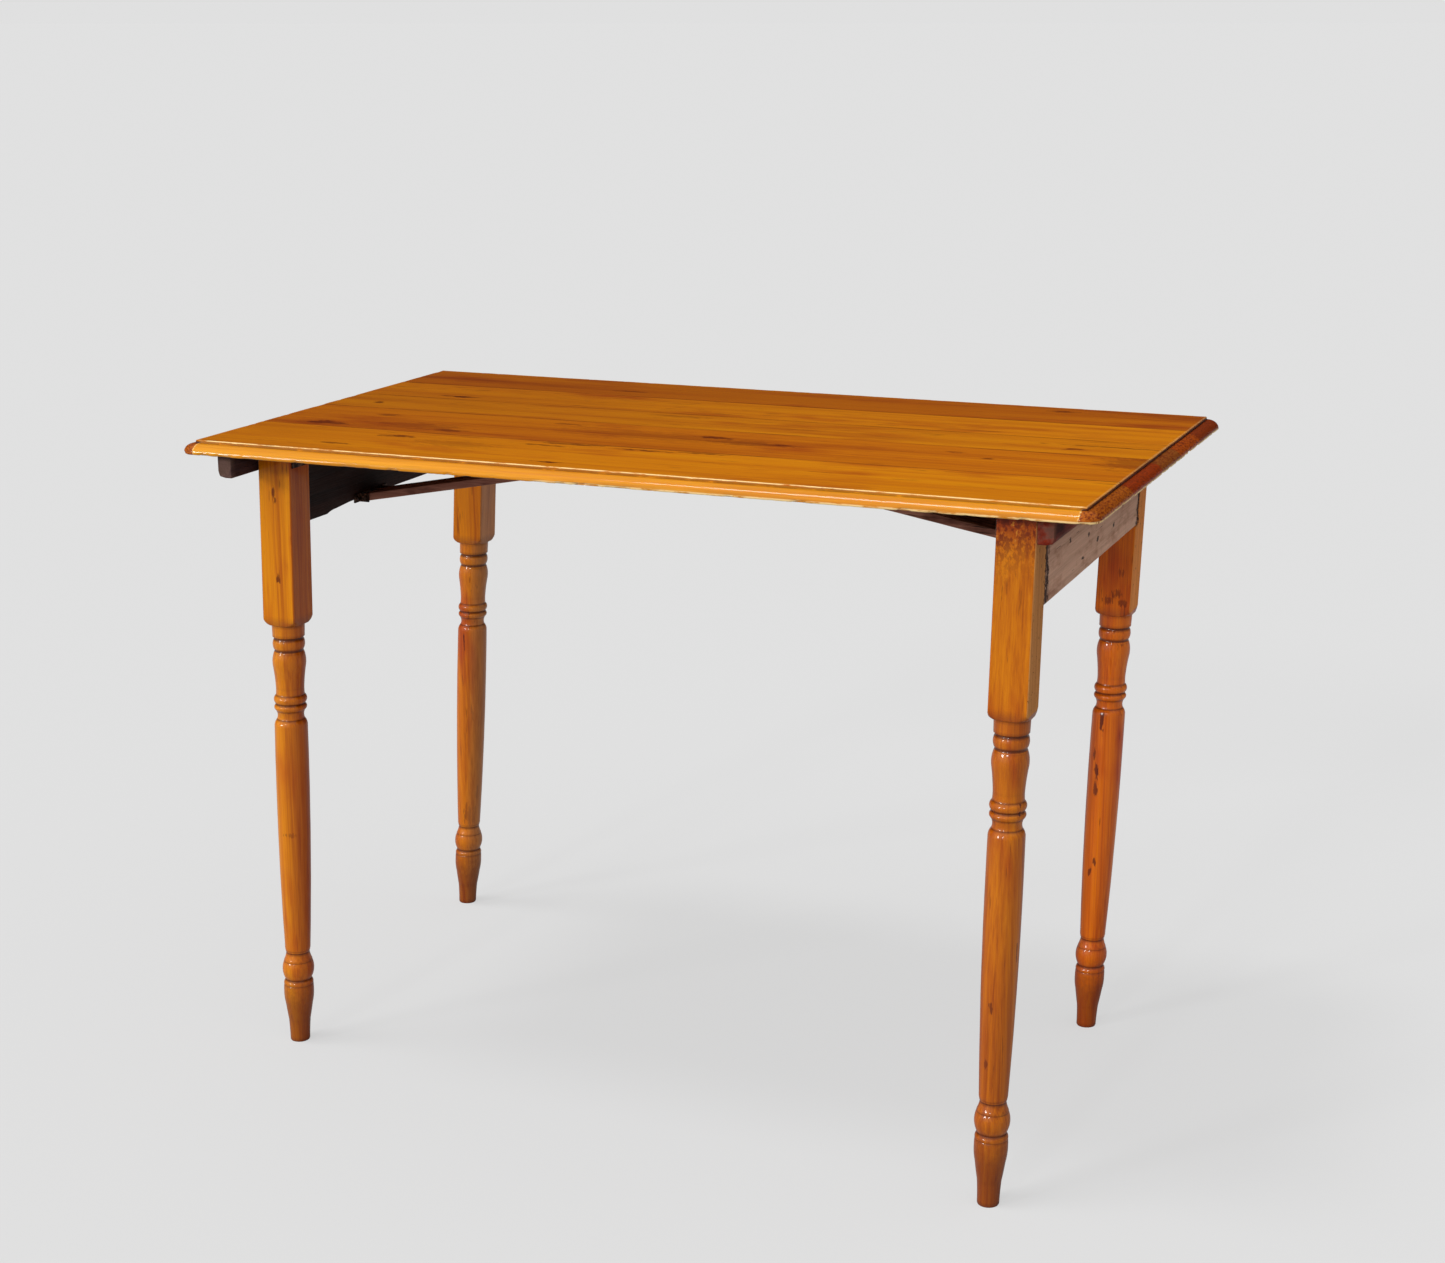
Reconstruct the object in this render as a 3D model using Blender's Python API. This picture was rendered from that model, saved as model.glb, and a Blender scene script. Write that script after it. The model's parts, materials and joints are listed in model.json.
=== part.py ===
"""Folding work table: a moulded board top on two hinged pairs of turned legs.

Metres, +Z up, X along the top, Y front to back. The floor is z = 0. Each pair of
legs is joined by an apron, turns on two butt hinges under the top, and is held by a
lath brace that runs from the apron up to a keeper under the middle of the top.
"""
import math

import bmesh
import bpy
from mathutils import Vector

# The top: five boards glued edge to edge, with a moulding worked round the edge. It sits
# a little behind the middle of the whole table, because one foot stands out in front.
TOP_LENGTH = 0.930
TOP_WIDTH = 0.532
TOP_CENTRE_Y = 0.008
TOP_HEIGHT = 0.660
TOP_THICKNESS = 0.013
MOULDING_WIDTH = 0.013
MOULDING_STEP = 0.0030
CORNER_RADIUS = 0.016
BOARD_JOINTS_Y = (-0.125, -0.005, 0.076, 0.165)

# Between pieces that touch, and round screws and pins.
GAP = 0.0003
UNDERSIDE = TOP_HEIGHT - TOP_THICKNESS

# The legs: left and right pairs are set one leg's width apart front to back, so that
# they lie side by side when both are folded. Lean is how far the foot stands out of plumb.
LEG_SQUARE = 0.037
LEG_TOP = UNDERSIDE - GAP
BLOCK_BOTTOM = 0.473
NECK_TOP = 0.4615
NECK_RADIUS = 0.0168
PLUMB_ABOVE = 0.638
LEFT_LEGS_X = -0.394
RIGHT_LEGS_X = 0.388
LEGS = {
    "front_left_leg": {"x": LEFT_LEGS_X, "y": -0.178, "lean": (-0.0113, -0.0053)},
    "back_left_leg": {"x": LEFT_LEGS_X, "y": 0.235, "lean": (-0.0410, 0.0147)},
    "front_right_leg": {"x": RIGHT_LEGS_X, "y": -0.218, "lean": (-0.0026, -0.0422)},
    "back_right_leg": {"x": RIGHT_LEGS_X, "y": 0.183, "lean": (-0.0186, -0.0120)},
}
RING_SIDES = 16

# The turning, from the floor up. Each row is the height and radius at the top of one
# feature, how far its middle swells out of the straight line, and its rings.
FOOT_END_RADIUS = 0.0098
TURNING = (
    (0.0020, 0.0105, 0.0000, 1),   # eased end
    (0.0240, 0.0115, -0.0002, 2),  # peg
    (0.0680, 0.0146, 0.0032, 4),   # swelling of the foot
    (0.0707, 0.0136, 0.0000, 1),   # groove
    (0.0960, 0.0130, 0.0035, 5),   # ball
    (0.1050, 0.0128, -0.0007, 2),  # ankle
    (0.1340, 0.0145, 0.0002, 1),   # lower end of the shaft
    (0.3550, 0.0171, 0.0012, 4),   # long shaft with a slight swell
    (0.3610, 0.0150, 0.0000, 1),   # shoulder of the shaft
    (0.3695, 0.0150, -0.0014, 4),  # cove
    (0.3765, 0.0157, 0.0015, 4),   # lower ring
    (0.3860, 0.0154, 0.0014, 4),   # upper ring
    (0.3935, 0.0145, 0.0000, 1),  # waist of the vase
    (0.4160, 0.0167, -0.0003, 2),  # rising side of the vase
    (0.4330, 0.0150, 0.0012, 4),   # shoulder of the vase
    (0.4362, 0.0152, 0.0000, 1),   # groove
    (0.4464, 0.0157, 0.0010, 4),   # ring under the neck
    (0.4485, 0.0166, 0.0000, 1),   # step up to the neck
    (NECK_TOP, NECK_RADIUS, 0.0, 1),
)

# The aprons: flush with the outer faces of the legs and tenoned into them.
APRON_THICKNESS = 0.018
APRON_BOTTOM = 0.560
TENON_THICKNESS = 0.009
TENON_LENGTH = 0.022
TENON_SHOULDER = 0.011

# The battens under the ends of the top, just outside the legs.
BATTEN_THICKNESS = 0.016
BATTEN_DEPTH = 0.0238
BATTEN_HALF_LENGTH = 0.250
BATTEN_CLEARANCE = 0.0013
BATTEN_SCREWS_Y = (-0.207, 0.018, 0.223)

# The butt hinges between the inner faces of the legs and the underside of the top.
HINGE_LENGTH = 0.030
HINGE_LEAF = 0.0165
HINGE_SHEET = 0.0012
HINGE_AXIS_OFFSET = 0.0034
KNUCKLE_COUNT = 5
PIN_RADIUS = 0.0013
KNUCKLE_BORE = 0.0015

# The braces: laths that turn on a pin in an iron bracket on each apron.
BRACE_THICKNESS = 0.008
BRACE_WIDTH = 0.044
BRACE_LEVEL_END = 0.012
BRACE_PIVOT_REACH = 0.008
BRACES = {
    "left": {"y": -0.008, "slope": math.radians(10.8), "pivot_height": 0.5662, "length": 0.4188},
    "right": {"y": -0.062, "slope": math.radians(9.72), "pivot_height": 0.5850, "length": 0.3520},
}
BRACKET_SHEET = 0.0018
BRACKET_HEIGHT = 0.009
BRACKET_WIDTH = 0.068
BRACKET_REACH = 0.0125
BRACE_PIN_RADIUS = 0.0015

# The keeper: three cheeks under the middle of the top that take both brace ends.
KEEPER_X = 0.028
KEEPER_HALF_LENGTH = 0.032
KEEPER_DEPTH = 0.0130
KEEPER_CHEEK = 0.013
KEEPER_GROOVE_CLEARANCE = 0.0006

SCREW_RADIUS = 0.0014
SCREW_HEAD_RADIUS = 0.0028
SCREW_HEAD_HEIGHT = 0.0011


def clear_scene():
    for obj in list(bpy.data.objects):
        bpy.data.objects.remove(obj, do_unlink=True)


def finish_of(name, color, roughness, metallic=0.0):
    material = bpy.data.materials.new(name)
    material.use_nodes = True
    shader = material.node_tree.nodes["Principled BSDF"]
    shader.inputs["Base Color"].default_value = (*color, 1.0)
    shader.inputs["Roughness"].default_value = roughness
    shader.inputs["Metallic"].default_value = metallic
    return material


def make_pivot(name, place, parent=None):
    pivot = bpy.data.objects.new(name, None)
    bpy.context.scene.collection.objects.link(pivot)
    pivot.location = Vector(place) - origin_of(parent)
    pivot.parent = parent
    return pivot


def origin_of(obj):
    """World origin of an object whose parents are only moved, never turned."""
    origin = Vector((0, 0, 0))
    while obj is not None:
        origin += obj.location
        obj = obj.parent
    return origin


def add_object(name, bm, material, place=(0, 0, 0), pivot=None, smooth=False):
    bmesh.ops.recalc_face_normals(bm, faces=bm.faces)
    mesh = bpy.data.meshes.new(name)
    bm.to_mesh(mesh)
    bm.free()
    obj = bpy.data.objects.new(name, mesh)
    bpy.context.scene.collection.objects.link(obj)
    obj.location = Vector(place) - origin_of(pivot)
    obj.parent = pivot
    if material:
        mesh.materials.append(material)
    if smooth:
        mesh.shade_smooth()
        mesh.set_sharp_from_angle(angle=math.radians(35))
    return obj


def cut_away(obj, cutter_mesh, name):
    """Cut a shape, given in world places, out of an object."""
    cutter = add_object(name, cutter_mesh, None, (0, 0, 0), obj.parent)
    cutter.hide_render = True
    cutter.display_type = "WIRE"
    cut = obj.modifiers.new(name, "BOOLEAN")
    cut.operation = "DIFFERENCE"
    cut.solver = "EXACT"
    cut.object = cutter


def add_box(bm, low, high):
    """Add a box and return its corners."""
    size = Vector(high) - Vector(low)
    middle = (Vector(high) + Vector(low)) / 2
    corners = bmesh.ops.create_cube(bm, size=1.0)["verts"]
    bmesh.ops.scale(bm, vec=size, verts=corners)
    bmesh.ops.translate(bm, vec=middle, verts=corners)
    return corners


def add_turning(bm, outline, start, direction, sides=8):
    """Add a solid of revolution: outline rows are (distance along, radius)."""
    turn = Vector((0, 0, 1)).rotation_difference(Vector(direction))
    rings = []
    for along, radius in outline:
        ring = []
        for step in range(sides):
            angle = math.tau * step / sides
            point = Vector((radius * math.cos(angle), radius * math.sin(angle), along))
            ring.append(bm.verts.new(Vector(start) + turn @ point))
        rings.append(ring)
    for lower, upper in zip(rings, rings[1:]):
        for step in range(sides):
            following = (step + 1) % sides
            bm.faces.new((lower[step], lower[following], upper[following], upper[step]))
    bm.faces.new(rings[0][::-1])
    bm.faces.new(rings[-1])


def add_prism(bm, outline, place_point, low, high):
    """Extrude a closed outline from low to high; place_point gives each corner's place."""
    ends = [[bm.verts.new(place_point(a, b, along)) for a, b in outline] for along in (low, high)]
    bm.faces.new(ends[0][::-1])
    bm.faces.new(ends[1])
    for index in range(len(outline)):
        following = (index + 1) % len(outline)
        bm.faces.new((ends[0][index], ends[0][following], ends[1][following], ends[1][index]))


def lean_point(point, lean):
    """Where a point of a leg stands once the leg is out of plumb."""
    drop = max(0.0, PLUMB_ABOVE - point.z) / PLUMB_ABOVE
    return Vector((point.x + lean[0] * drop, point.y + lean[1] * drop, point.z))


def lean_mesh(bm, lean):
    for vert in bm.verts:
        vert.co = lean_point(vert.co, lean)


# ---------------------------------------------------------------- the top


def moulding_outline():
    """Rows of (inset from the edge, height) from the underside up to the flat field."""
    quirk = TOP_HEIGHT - MOULDING_STEP
    lip = UNDERSIDE + 0.0016
    rows = [(0.0006, UNDERSIDE), (0.0, UNDERSIDE + 0.0006)]
    steps = 6
    for step in range(steps + 1):
        angle = math.radians(90) * step / steps
        inset = (MOULDING_WIDTH - 0.0008) * (1 - math.cos(angle))
        rows.append((inset, lip + (quirk - lip) * math.sin(angle)))
    rows.append((MOULDING_WIDTH - 0.0003, quirk + 0.0002))
    rows.append((MOULDING_WIDTH, TOP_HEIGHT))
    return rows


def rounded_rectangle(inset, corner_steps=4):
    """Corner points of the top's plan at a given inset from its edge."""
    radius = max(0.0006, CORNER_RADIUS - 1.2 * inset)
    half_x = TOP_LENGTH / 2 - inset - radius
    half_y = TOP_WIDTH / 2 - inset - radius
    points = []
    for quarter, (sign_x, sign_y) in enumerate(((1, 1), (-1, 1), (-1, -1), (1, -1))):
        for step in range(corner_steps + 1):
            angle = math.radians(90) * (quarter + step / corner_steps)
            points.append((sign_x * half_x + radius * math.cos(angle),
                           TOP_CENTRE_Y + sign_y * half_y + radius * math.sin(angle)))
    return points


def moulded_slab():
    bm = bmesh.new()
    loops = []
    for inset, height in moulding_outline():
        loops.append([bm.verts.new((x, y, height)) for x, y in rounded_rectangle(inset)])
    count = len(loops[0])
    for lower, upper in zip(loops, loops[1:]):
        for index in range(count):
            following = (index + 1) % count
            bm.faces.new((lower[index], lower[following], upper[following], upper[index]))
    bm.faces.new(loops[0][::-1])
    bm.faces.new(loops[-1])
    return bm


def trim(bm, height_y, keep_above):
    """Saw the slab at one y and close the sawn face."""
    cut = bmesh.ops.bisect_plane(
        bm, geom=bm.verts[:] + bm.edges[:] + bm.faces[:], dist=1e-7,
        plane_co=(0, height_y, 0), plane_no=(0, 1, 0),
        clear_inner=keep_above, clear_outer=not keep_above)
    edges = [item for item in cut["geom_cut"] if isinstance(item, bmesh.types.BMEdge)]
    bmesh.ops.edgeloop_fill(bm, edges=edges)


def make_top_boards(wood, pilot_holes):
    names = ("top_board_front", "top_board_second", "top_board_middle",
             "top_board_fourth", "top_board_back")
    edges = (None, *BOARD_JOINTS_Y, None)
    for name, low, high in zip(names, edges, edges[1:]):
        bm = moulded_slab()
        if low is not None:
            trim(bm, low + GAP / 2, keep_above=True)
        if high is not None:
            trim(bm, high - GAP / 2, keep_above=False)
        board = add_object(name, bm, wood)
        holes = bmesh.new()
        for x, y, depth in pilot_holes:
            if (low is None or y > low) and (high is None or y < high):
                add_pilot_hole(holes, (x, y, UNDERSIDE), (0, 0, 1), depth)
        if holes.verts:
            cut_away(board, holes, name + "_holes")


def make_batten(name, inner_x, outward, wood):
    """A batten with its lower corners eased; outward is -1 at the left end."""
    outer = BATTEN_THICKNESS * outward
    ease = 0.003
    outline = ((0, 0), (0, -BATTEN_DEPTH), (outer - ease * outward, -BATTEN_DEPTH),
               (outer, -BATTEN_DEPTH + ease), (outer, 0))
    bm = bmesh.new()
    top = UNDERSIDE - GAP
    add_prism(bm, outline, lambda x, z, y: Vector((inner_x + x, y, top + z)),
              TOP_CENTRE_Y - BATTEN_HALF_LENGTH, TOP_CENTRE_Y + BATTEN_HALF_LENGTH)
    batten = add_object(name, bm, wood)
    holes = bmesh.new()
    for y in BATTEN_SCREWS_Y:
        x = inner_x + outer / 2
        add_pilot_hole(holes, (x, y, top - BATTEN_DEPTH), (0, 0, 1), BATTEN_DEPTH + 0.002)
    cut_away(batten, holes, name + "_holes")


def batten_inner_x(side):
    legs_x = LEFT_LEGS_X if side < 0 else RIGHT_LEGS_X
    return legs_x + side * (LEG_SQUARE / 2 + BATTEN_CLEARANCE)


def batten_screws(side):
    """Screws up through a batten into the boards above it."""
    x = batten_inner_x(side) + side * BATTEN_THICKNESS / 2
    seat_z = UNDERSIDE - GAP - BATTEN_DEPTH
    return [((x, y, seat_z), (0, 0, 1), BATTEN_DEPTH + 0.008) for y in BATTEN_SCREWS_Y]


def top_pilot_holes():
    """Where screws enter the underside of the top: (x, y, depth)."""
    rows = batten_screws(-1) + batten_screws(1)
    for name, leg in LEGS.items():
        rows += top_leaf_screws(leg, 1 if "left" in name else -1)
    return [(seat[0], seat[1], 0.009) for seat, _, _ in rows]


# ---------------------------------------------------------------- screws


def add_pilot_hole(bm, mouth, direction, depth):
    """A hole a little wider than the screw, starting just outside the surface."""
    start = Vector(mouth) - Vector(direction) * 0.002
    radius = SCREW_RADIUS + GAP
    add_turning(bm, ((0, radius), (depth + 0.002, radius)), start, direction)


def add_screw(bm, seat, direction, length):
    """A round-headed screw: seat is where the head meets the surface."""
    start = Vector(seat) - Vector(direction) * (GAP + SCREW_HEAD_HEIGHT)
    head = SCREW_HEAD_HEIGHT
    outline = ((0, SCREW_HEAD_RADIUS * 0.45), (head * 0.55, SCREW_HEAD_RADIUS * 0.85),
               (head, SCREW_HEAD_RADIUS), (head, SCREW_RADIUS),
               (head + GAP + length - 0.002, SCREW_RADIUS), (head + GAP + length, 0.0004))
    add_turning(bm, outline, start, direction)


def make_screws(name, rows, iron, pivot=None, lean=(0.0, 0.0)):
    """One numbered screw for each row of (seat, direction, length)."""
    for number, (seat, direction, length) in enumerate(rows, 1):
        bm = bmesh.new()
        add_screw(bm, seat, direction, length)
        lean_mesh(bm, lean)
        add_object(f"{name}_screw_{number}", bm, iron, pivot=pivot, smooth=True)


# ---------------------------------------------------------------- legs and aprons


def leg_rings():
    """Rows of (height, radius, square) up the leg; square rings are cut to the block."""
    rows = [(0.0, FOOT_END_RADIUS)]
    for height, radius, swell, steps in TURNING:
        from_height, from_radius = rows[-1]
        for step in range(1, steps + 1):
            part = step / steps
            bulge = swell * 4 * part * (1 - part)
            rows.append((from_height + (height - from_height) * part,
                         from_radius + (radius - from_radius) * part + bulge))
    corner = LEG_SQUARE / math.sqrt(2)
    shoulder_steps = 4
    for step in range(1, shoulder_steps + 1):
        part = step / shoulder_steps
        reach = math.sqrt(1 - (1 - part) ** 2)
        rows.append((NECK_TOP + (BLOCK_BOTTOM - NECK_TOP) * part,
                     NECK_RADIUS + (corner - NECK_RADIUS) * reach))
    rows.append((PLUMB_ABOVE, corner))
    rows.append((LEG_TOP, corner))
    return rows


def leg_mesh():
    """A square block whose lower corners run into the turning below it."""
    bm = bmesh.new()
    half = LEG_SQUARE / 2
    rings = []
    for height, radius in leg_rings():
        ring = []
        for step in range(RING_SIDES):
            angle = math.tau * step / RING_SIDES
            across = max(abs(math.cos(angle)), abs(math.sin(angle)))
            reach = min(radius, half / across)
            ring.append(bm.verts.new((reach * math.cos(angle), reach * math.sin(angle), height)))
        rings.append(ring)
    for lower, upper in zip(rings, rings[1:]):
        for step in range(RING_SIDES):
            following = (step + 1) % RING_SIDES
            bm.faces.new((lower[step], lower[following], upper[following], upper[step]))
    bm.faces.new(rings[0][::-1])
    bm.faces.new(rings[-1])
    return bm


def tenon_box(leg, outer_x, inward, toward, clearance):
    """Low and high corners of a tenon, or of its mortise with clearance added."""
    side_y = leg["y"] + toward * LEG_SQUARE / 2
    middle_x = outer_x + inward * APRON_THICKNESS / 2
    half = TENON_THICKNESS / 2 + clearance
    tip_y = side_y - toward * (TENON_LENGTH + clearance)
    mouth_y = side_y + toward * 0.001
    low = (middle_x - half, min(tip_y, mouth_y), APRON_BOTTOM + TENON_SHOULDER - clearance)
    high = (middle_x + half, max(tip_y, mouth_y), LEG_TOP - TENON_SHOULDER + clearance)
    return low, high


def make_leg(name, wood, pivot, outer_x, inward):
    leg = LEGS[name]
    bm = leg_mesh()
    lean_mesh(bm, leg["lean"])
    obj = add_object(name, bm, wood, (leg["x"], leg["y"], 0), pivot, smooth=True)
    toward = 1 if name.startswith("front") else -1
    cuts = bmesh.new()
    add_box(cuts, *tenon_box(leg, outer_x, inward, toward, GAP))
    for seat, direction, length in leg_leaf_screws(leg, inward):
        add_pilot_hole(cuts, seat, direction, length + 0.001)
    lean_mesh(cuts, leg["lean"])
    cut_away(obj, cuts, name + "_cuts")


def frame_lean(word, y):
    """Lean of a pair of legs, shared out between the front leg and the back one."""
    front, back = LEGS[f"front_{word}_leg"], LEGS[f"back_{word}_leg"]
    part = min(1.0, max(0.0, (y - front["y"]) / (back["y"] - front["y"])))
    return tuple(a + (b - a) * part for a, b in zip(front["lean"], back["lean"]))


def make_apron(word, outer_x, inward, wood, pivot):
    """A board between two legs whose ends follow the lean of each leg."""
    bm = bmesh.new()
    front, back = LEGS[f"front_{word}_leg"], LEGS[f"back_{word}_leg"]
    inner_x = outer_x + inward * APRON_THICKNESS
    front_end = front["y"] + LEG_SQUARE / 2 + GAP
    back_end = back["y"] - LEG_SQUARE / 2 - GAP
    add_box(bm, (min(outer_x, inner_x), front_end, APRON_BOTTOM),
            (max(outer_x, inner_x), back_end, LEG_TOP))
    for leg, toward in ((front, 1), (back, -1)):
        low, high = tenon_box(leg, outer_x, inward, toward, 0.0)
        end_face = min(bm.faces, key=lambda face: toward * face.calc_center_median().y)
        grow_tenon(bm, end_face, low, high, low[1] if toward > 0 else high[1])
    for step in range(1, 9):
        split_at(bm, (0, front_end + (back_end - front_end) * step / 9, 0), (0, 1, 0))
    split_at(bm, (0, 0, PLUMB_ABOVE - 0.001), (0, 0, 1))
    for vert in bm.verts:
        part = min(1.0, max(0.0, (vert.co.y - front_end) / (back_end - front_end)))
        lean = [a + (b - a) * part for a, b in zip(front["lean"], back["lean"])]
        vert.co = lean_point(vert.co, lean)
    apron = add_object(f"{word}_apron", bm, wood, (0, 0, 0), pivot)
    holes = bmesh.new()
    for seat, direction, length in bracket_screws(word, outer_x, inward):
        add_pilot_hole(holes, seat, direction, length + 0.001)
    cut_away(apron, holes, f"{word}_apron_holes")


def split_at(bm, place, normal):
    bmesh.ops.bisect_plane(bm, geom=bm.verts[:] + bm.edges[:] + bm.faces[:],
                           plane_co=place, plane_no=normal)


def against_apron(point, word):
    """The bracket and its screws follow the twist in the inner face of the apron."""
    return lean_point(point, (frame_lean(word, point.y)[0], 0.0))


def grow_tenon(bm, end_face, low, high, tip_y):
    """Inset the end face to the tenon's size and draw it out to the tenon's tip."""
    bmesh.ops.inset_individual(bm, faces=[end_face], thickness=0.002)
    for vert in end_face.verts:
        vert.co.x = low[0] if vert.co.x < (low[0] + high[0]) / 2 else high[0]
        vert.co.z = low[2] if vert.co.z < (low[2] + high[2]) / 2 else high[2]
    tip = bmesh.ops.extrude_discrete_faces(bm, faces=[end_face])["faces"][0]
    for vert in tip.verts:
        vert.co.y = tip_y


# ---------------------------------------------------------------- hinges


def hinge_axis(legs_x, inward):
    return Vector((legs_x + inward * (LEG_SQUARE / 2 + HINGE_AXIS_OFFSET), 0,
                   UNDERSIDE - HINGE_AXIS_OFFSET))


def leaf_section():
    """Pairs of (inner, outer) points of a leaf, in hinge places: the pin is at (0, 0).

    The flat runs along +a at a distance b from the pin, then rolls round it.
    """
    flat = HINGE_AXIS_OFFSET - GAP
    near = flat - HINGE_SHEET
    pairs = [((HINGE_LEAF, near), (HINGE_LEAF, flat)), ((0.0042, near), (0.0042, flat))]
    roll_outer = KNUCKLE_BORE + HINGE_SHEET
    steps = 8
    for step in range(steps + 1):
        angle = math.radians(82 + 290 * step / steps)
        pairs.append(((KNUCKLE_BORE * math.cos(angle), KNUCKLE_BORE * math.sin(angle)),
                      (roll_outer * math.cos(angle), roll_outer * math.sin(angle))))
    return pairs


def add_leaf(bm, place_point, first_knuckle):
    """One leaf: the flat is full length, the roll is kept only at alternate knuckles."""
    pairs = leaf_section()
    width = HINGE_LENGTH / KNUCKLE_COUNT
    stations = [-HINGE_LENGTH / 2]
    rolled = []
    for knuckle in range(KNUCKLE_COUNT):
        mine = knuckle % 2 == first_knuckle
        edge = -HINGE_LENGTH / 2 + knuckle * width
        if mine:
            stations += [edge + GAP / 2, edge + width - GAP / 2]
            rolled += [False, True]
    stations.append(HINGE_LENGTH / 2)
    rolled.append(False)
    verts = [[[bm.verts.new(place_point(*point, y)) for point in pair] for pair in pairs]
             for y in stations]

    def kept(slab, part):
        return 0 <= slab < len(rolled) and 0 <= part < len(pairs) - 1 and (rolled[slab] or part < 1)

    for slab in range(len(rolled)):
        for part in range(len(pairs) - 1):
            if not kept(slab, part):
                continue
            near, far = verts[slab], verts[slab + 1]
            for side in (0, 1):
                bm.faces.new((near[part][side], near[part + 1][side],
                              far[part + 1][side], far[part][side]))
            if not kept(slab, part - 1):
                bm.faces.new((near[part][0], near[part][1], far[part][1], far[part][0]))
            if not kept(slab, part + 1):
                bm.faces.new((near[part + 1][0], near[part + 1][1],
                              far[part + 1][1], far[part + 1][0]))
            if not kept(slab - 1, part):
                bm.faces.new((near[part][0], near[part][1], near[part + 1][1], near[part + 1][0]))
            if not kept(slab + 1, part):
                bm.faces.new((far[part][0], far[part][1], far[part + 1][1], far[part + 1][0]))
    unused = [vert for vert in bm.verts if not vert.link_faces]
    bmesh.ops.delete(bm, geom=unused, context="VERTS")


def leaf_screw_places():
    """Distances of a leaf's screws from the pin and along it."""
    return ((0.0105, -0.0085), (0.0105, 0.0085))


def leg_leaf_screws(leg, inward):
    """Screws through the leg's leaf, in places counted from the leg's own foot."""
    face_x = leg["x"] + inward * (LEG_SQUARE / 2 + GAP + HINGE_SHEET)
    axis_z = hinge_axis(leg["x"], inward).z
    return [((face_x, leg["y"] + y, axis_z - away), (-inward, 0, 0), 0.014)
            for away, y in leaf_screw_places()]


def top_leaf_screws(leg, inward):
    axis = hinge_axis(leg["x"], inward)
    face_z = UNDERSIDE - GAP - HINGE_SHEET
    return [((axis.x + inward * away, leg["y"] + y, face_z), (0, 0, 1), 0.009)
            for away, y in leaf_screw_places()]


def make_hinge(leg_name, inward, iron, pivot):
    """Two rolled leaves; the top's leaf stays with the top, the other turns with the legs."""
    leg = LEGS[leg_name]
    axis = hinge_axis(leg["x"], inward)
    place = leg_name.replace("_leg", "_hinge")

    bm = bmesh.new()
    add_leaf(bm, lambda a, b, y: Vector((axis.x + inward * a, leg["y"] + y, axis.z + b)), 0)
    top_leaf = add_object(place + "_top_leaf", bm, iron)
    holes = bmesh.new()
    for seat, direction, length in top_leaf_screws(leg, inward):
        add_pilot_hole(holes, seat, direction, 0.003)
    cut_away(top_leaf, holes, place + "_top_holes")

    bm = bmesh.new()
    add_leaf(bm, lambda a, b, y: Vector((axis.x - inward * b, leg["y"] + y, axis.z - a)), 1)
    lean_mesh(bm, leg["lean"])
    leg_leaf = add_object(place + "_leg_leaf", bm, iron, pivot=pivot)
    holes = bmesh.new()
    for seat, direction, length in leg_leaf_screws(leg, inward):
        add_pilot_hole(holes, seat, direction, 0.003)
    lean_mesh(holes, leg["lean"])
    cut_away(leg_leaf, holes, place + "_leg_holes")

    half = HINGE_LENGTH / 2 + 0.0005
    bm = bmesh.new()
    start = (axis.x, leg["y"] - half, axis.z)
    add_turning(bm, ((0, PIN_RADIUS), (2 * half, PIN_RADIUS)), start, (0, 1, 0), sides=12)
    add_object(place + "_pin", bm, iron, smooth=True)

    make_screws(place + "_top", top_leaf_screws(leg, inward), iron)
    make_screws(place + "_leg", leg_leaf_screws(leg, inward), iron, pivot, leg["lean"])


# ---------------------------------------------------------------- braces and keeper


def brace_pivot(word, outer_x, inward):
    reach = APRON_THICKNESS + BRACE_PIVOT_REACH
    brace = BRACES[word]
    upright = Vector((outer_x + inward * reach, brace["y"], brace["pivot_height"]))
    return against_apron(upright, word)


def make_brace(word, outer_x, inward, wood, pivot):
    """A lath with a rounded pivot end and an end sawn level with the underside."""
    half = BRACE_THICKNESS / 2
    slope, length = BRACES[word]["slope"], BRACES[word]["length"]
    outline = [(length - BRACE_LEVEL_END, half),
               (length, half - BRACE_LEVEL_END * math.tan(slope)), (length, -half)]
    steps = 6
    for step in range(steps + 1):
        angle = math.radians(270 - 180 * step / steps)
        outline.append((half * math.cos(angle), half * math.sin(angle)))
    centre = brace_pivot(word, outer_x, inward)
    along = Vector((inward * math.cos(slope), 0, math.sin(slope)))
    above = Vector((-inward * math.sin(slope), 0, math.cos(slope)))
    bm = bmesh.new()
    add_prism(bm, outline, lambda a, b, y: along * a + above * b + Vector((0, y, 0)),
              -BRACE_WIDTH / 2, BRACE_WIDTH / 2)
    brace = add_object(f"{word}_brace", bm, wood, centre, pivot)
    hole = bmesh.new()
    reach = BRACE_WIDTH / 2 + 0.002
    radius = BRACE_PIN_RADIUS + GAP
    add_turning(hole, ((0, radius), (2 * reach, radius)), centre - Vector((0, reach, 0)), (0, 1, 0))
    cut_away(brace, hole, f"{word}_brace_hole")


def bracket_screws(word, outer_x, inward):
    """Two screws through the bracket's ears into the apron."""
    face_x = outer_x + inward * (APRON_THICKNESS + GAP + BRACKET_SHEET)
    reach = BRACKET_WIDTH / 2 - 0.0045
    brace = BRACES[word]
    seats = [Vector((face_x, brace["y"] + side * reach, brace["pivot_height"]))
             for side in (-1, 1)]
    return [(against_apron(seat, word), (-inward, 0, 0), 0.012) for seat in seats]


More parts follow.
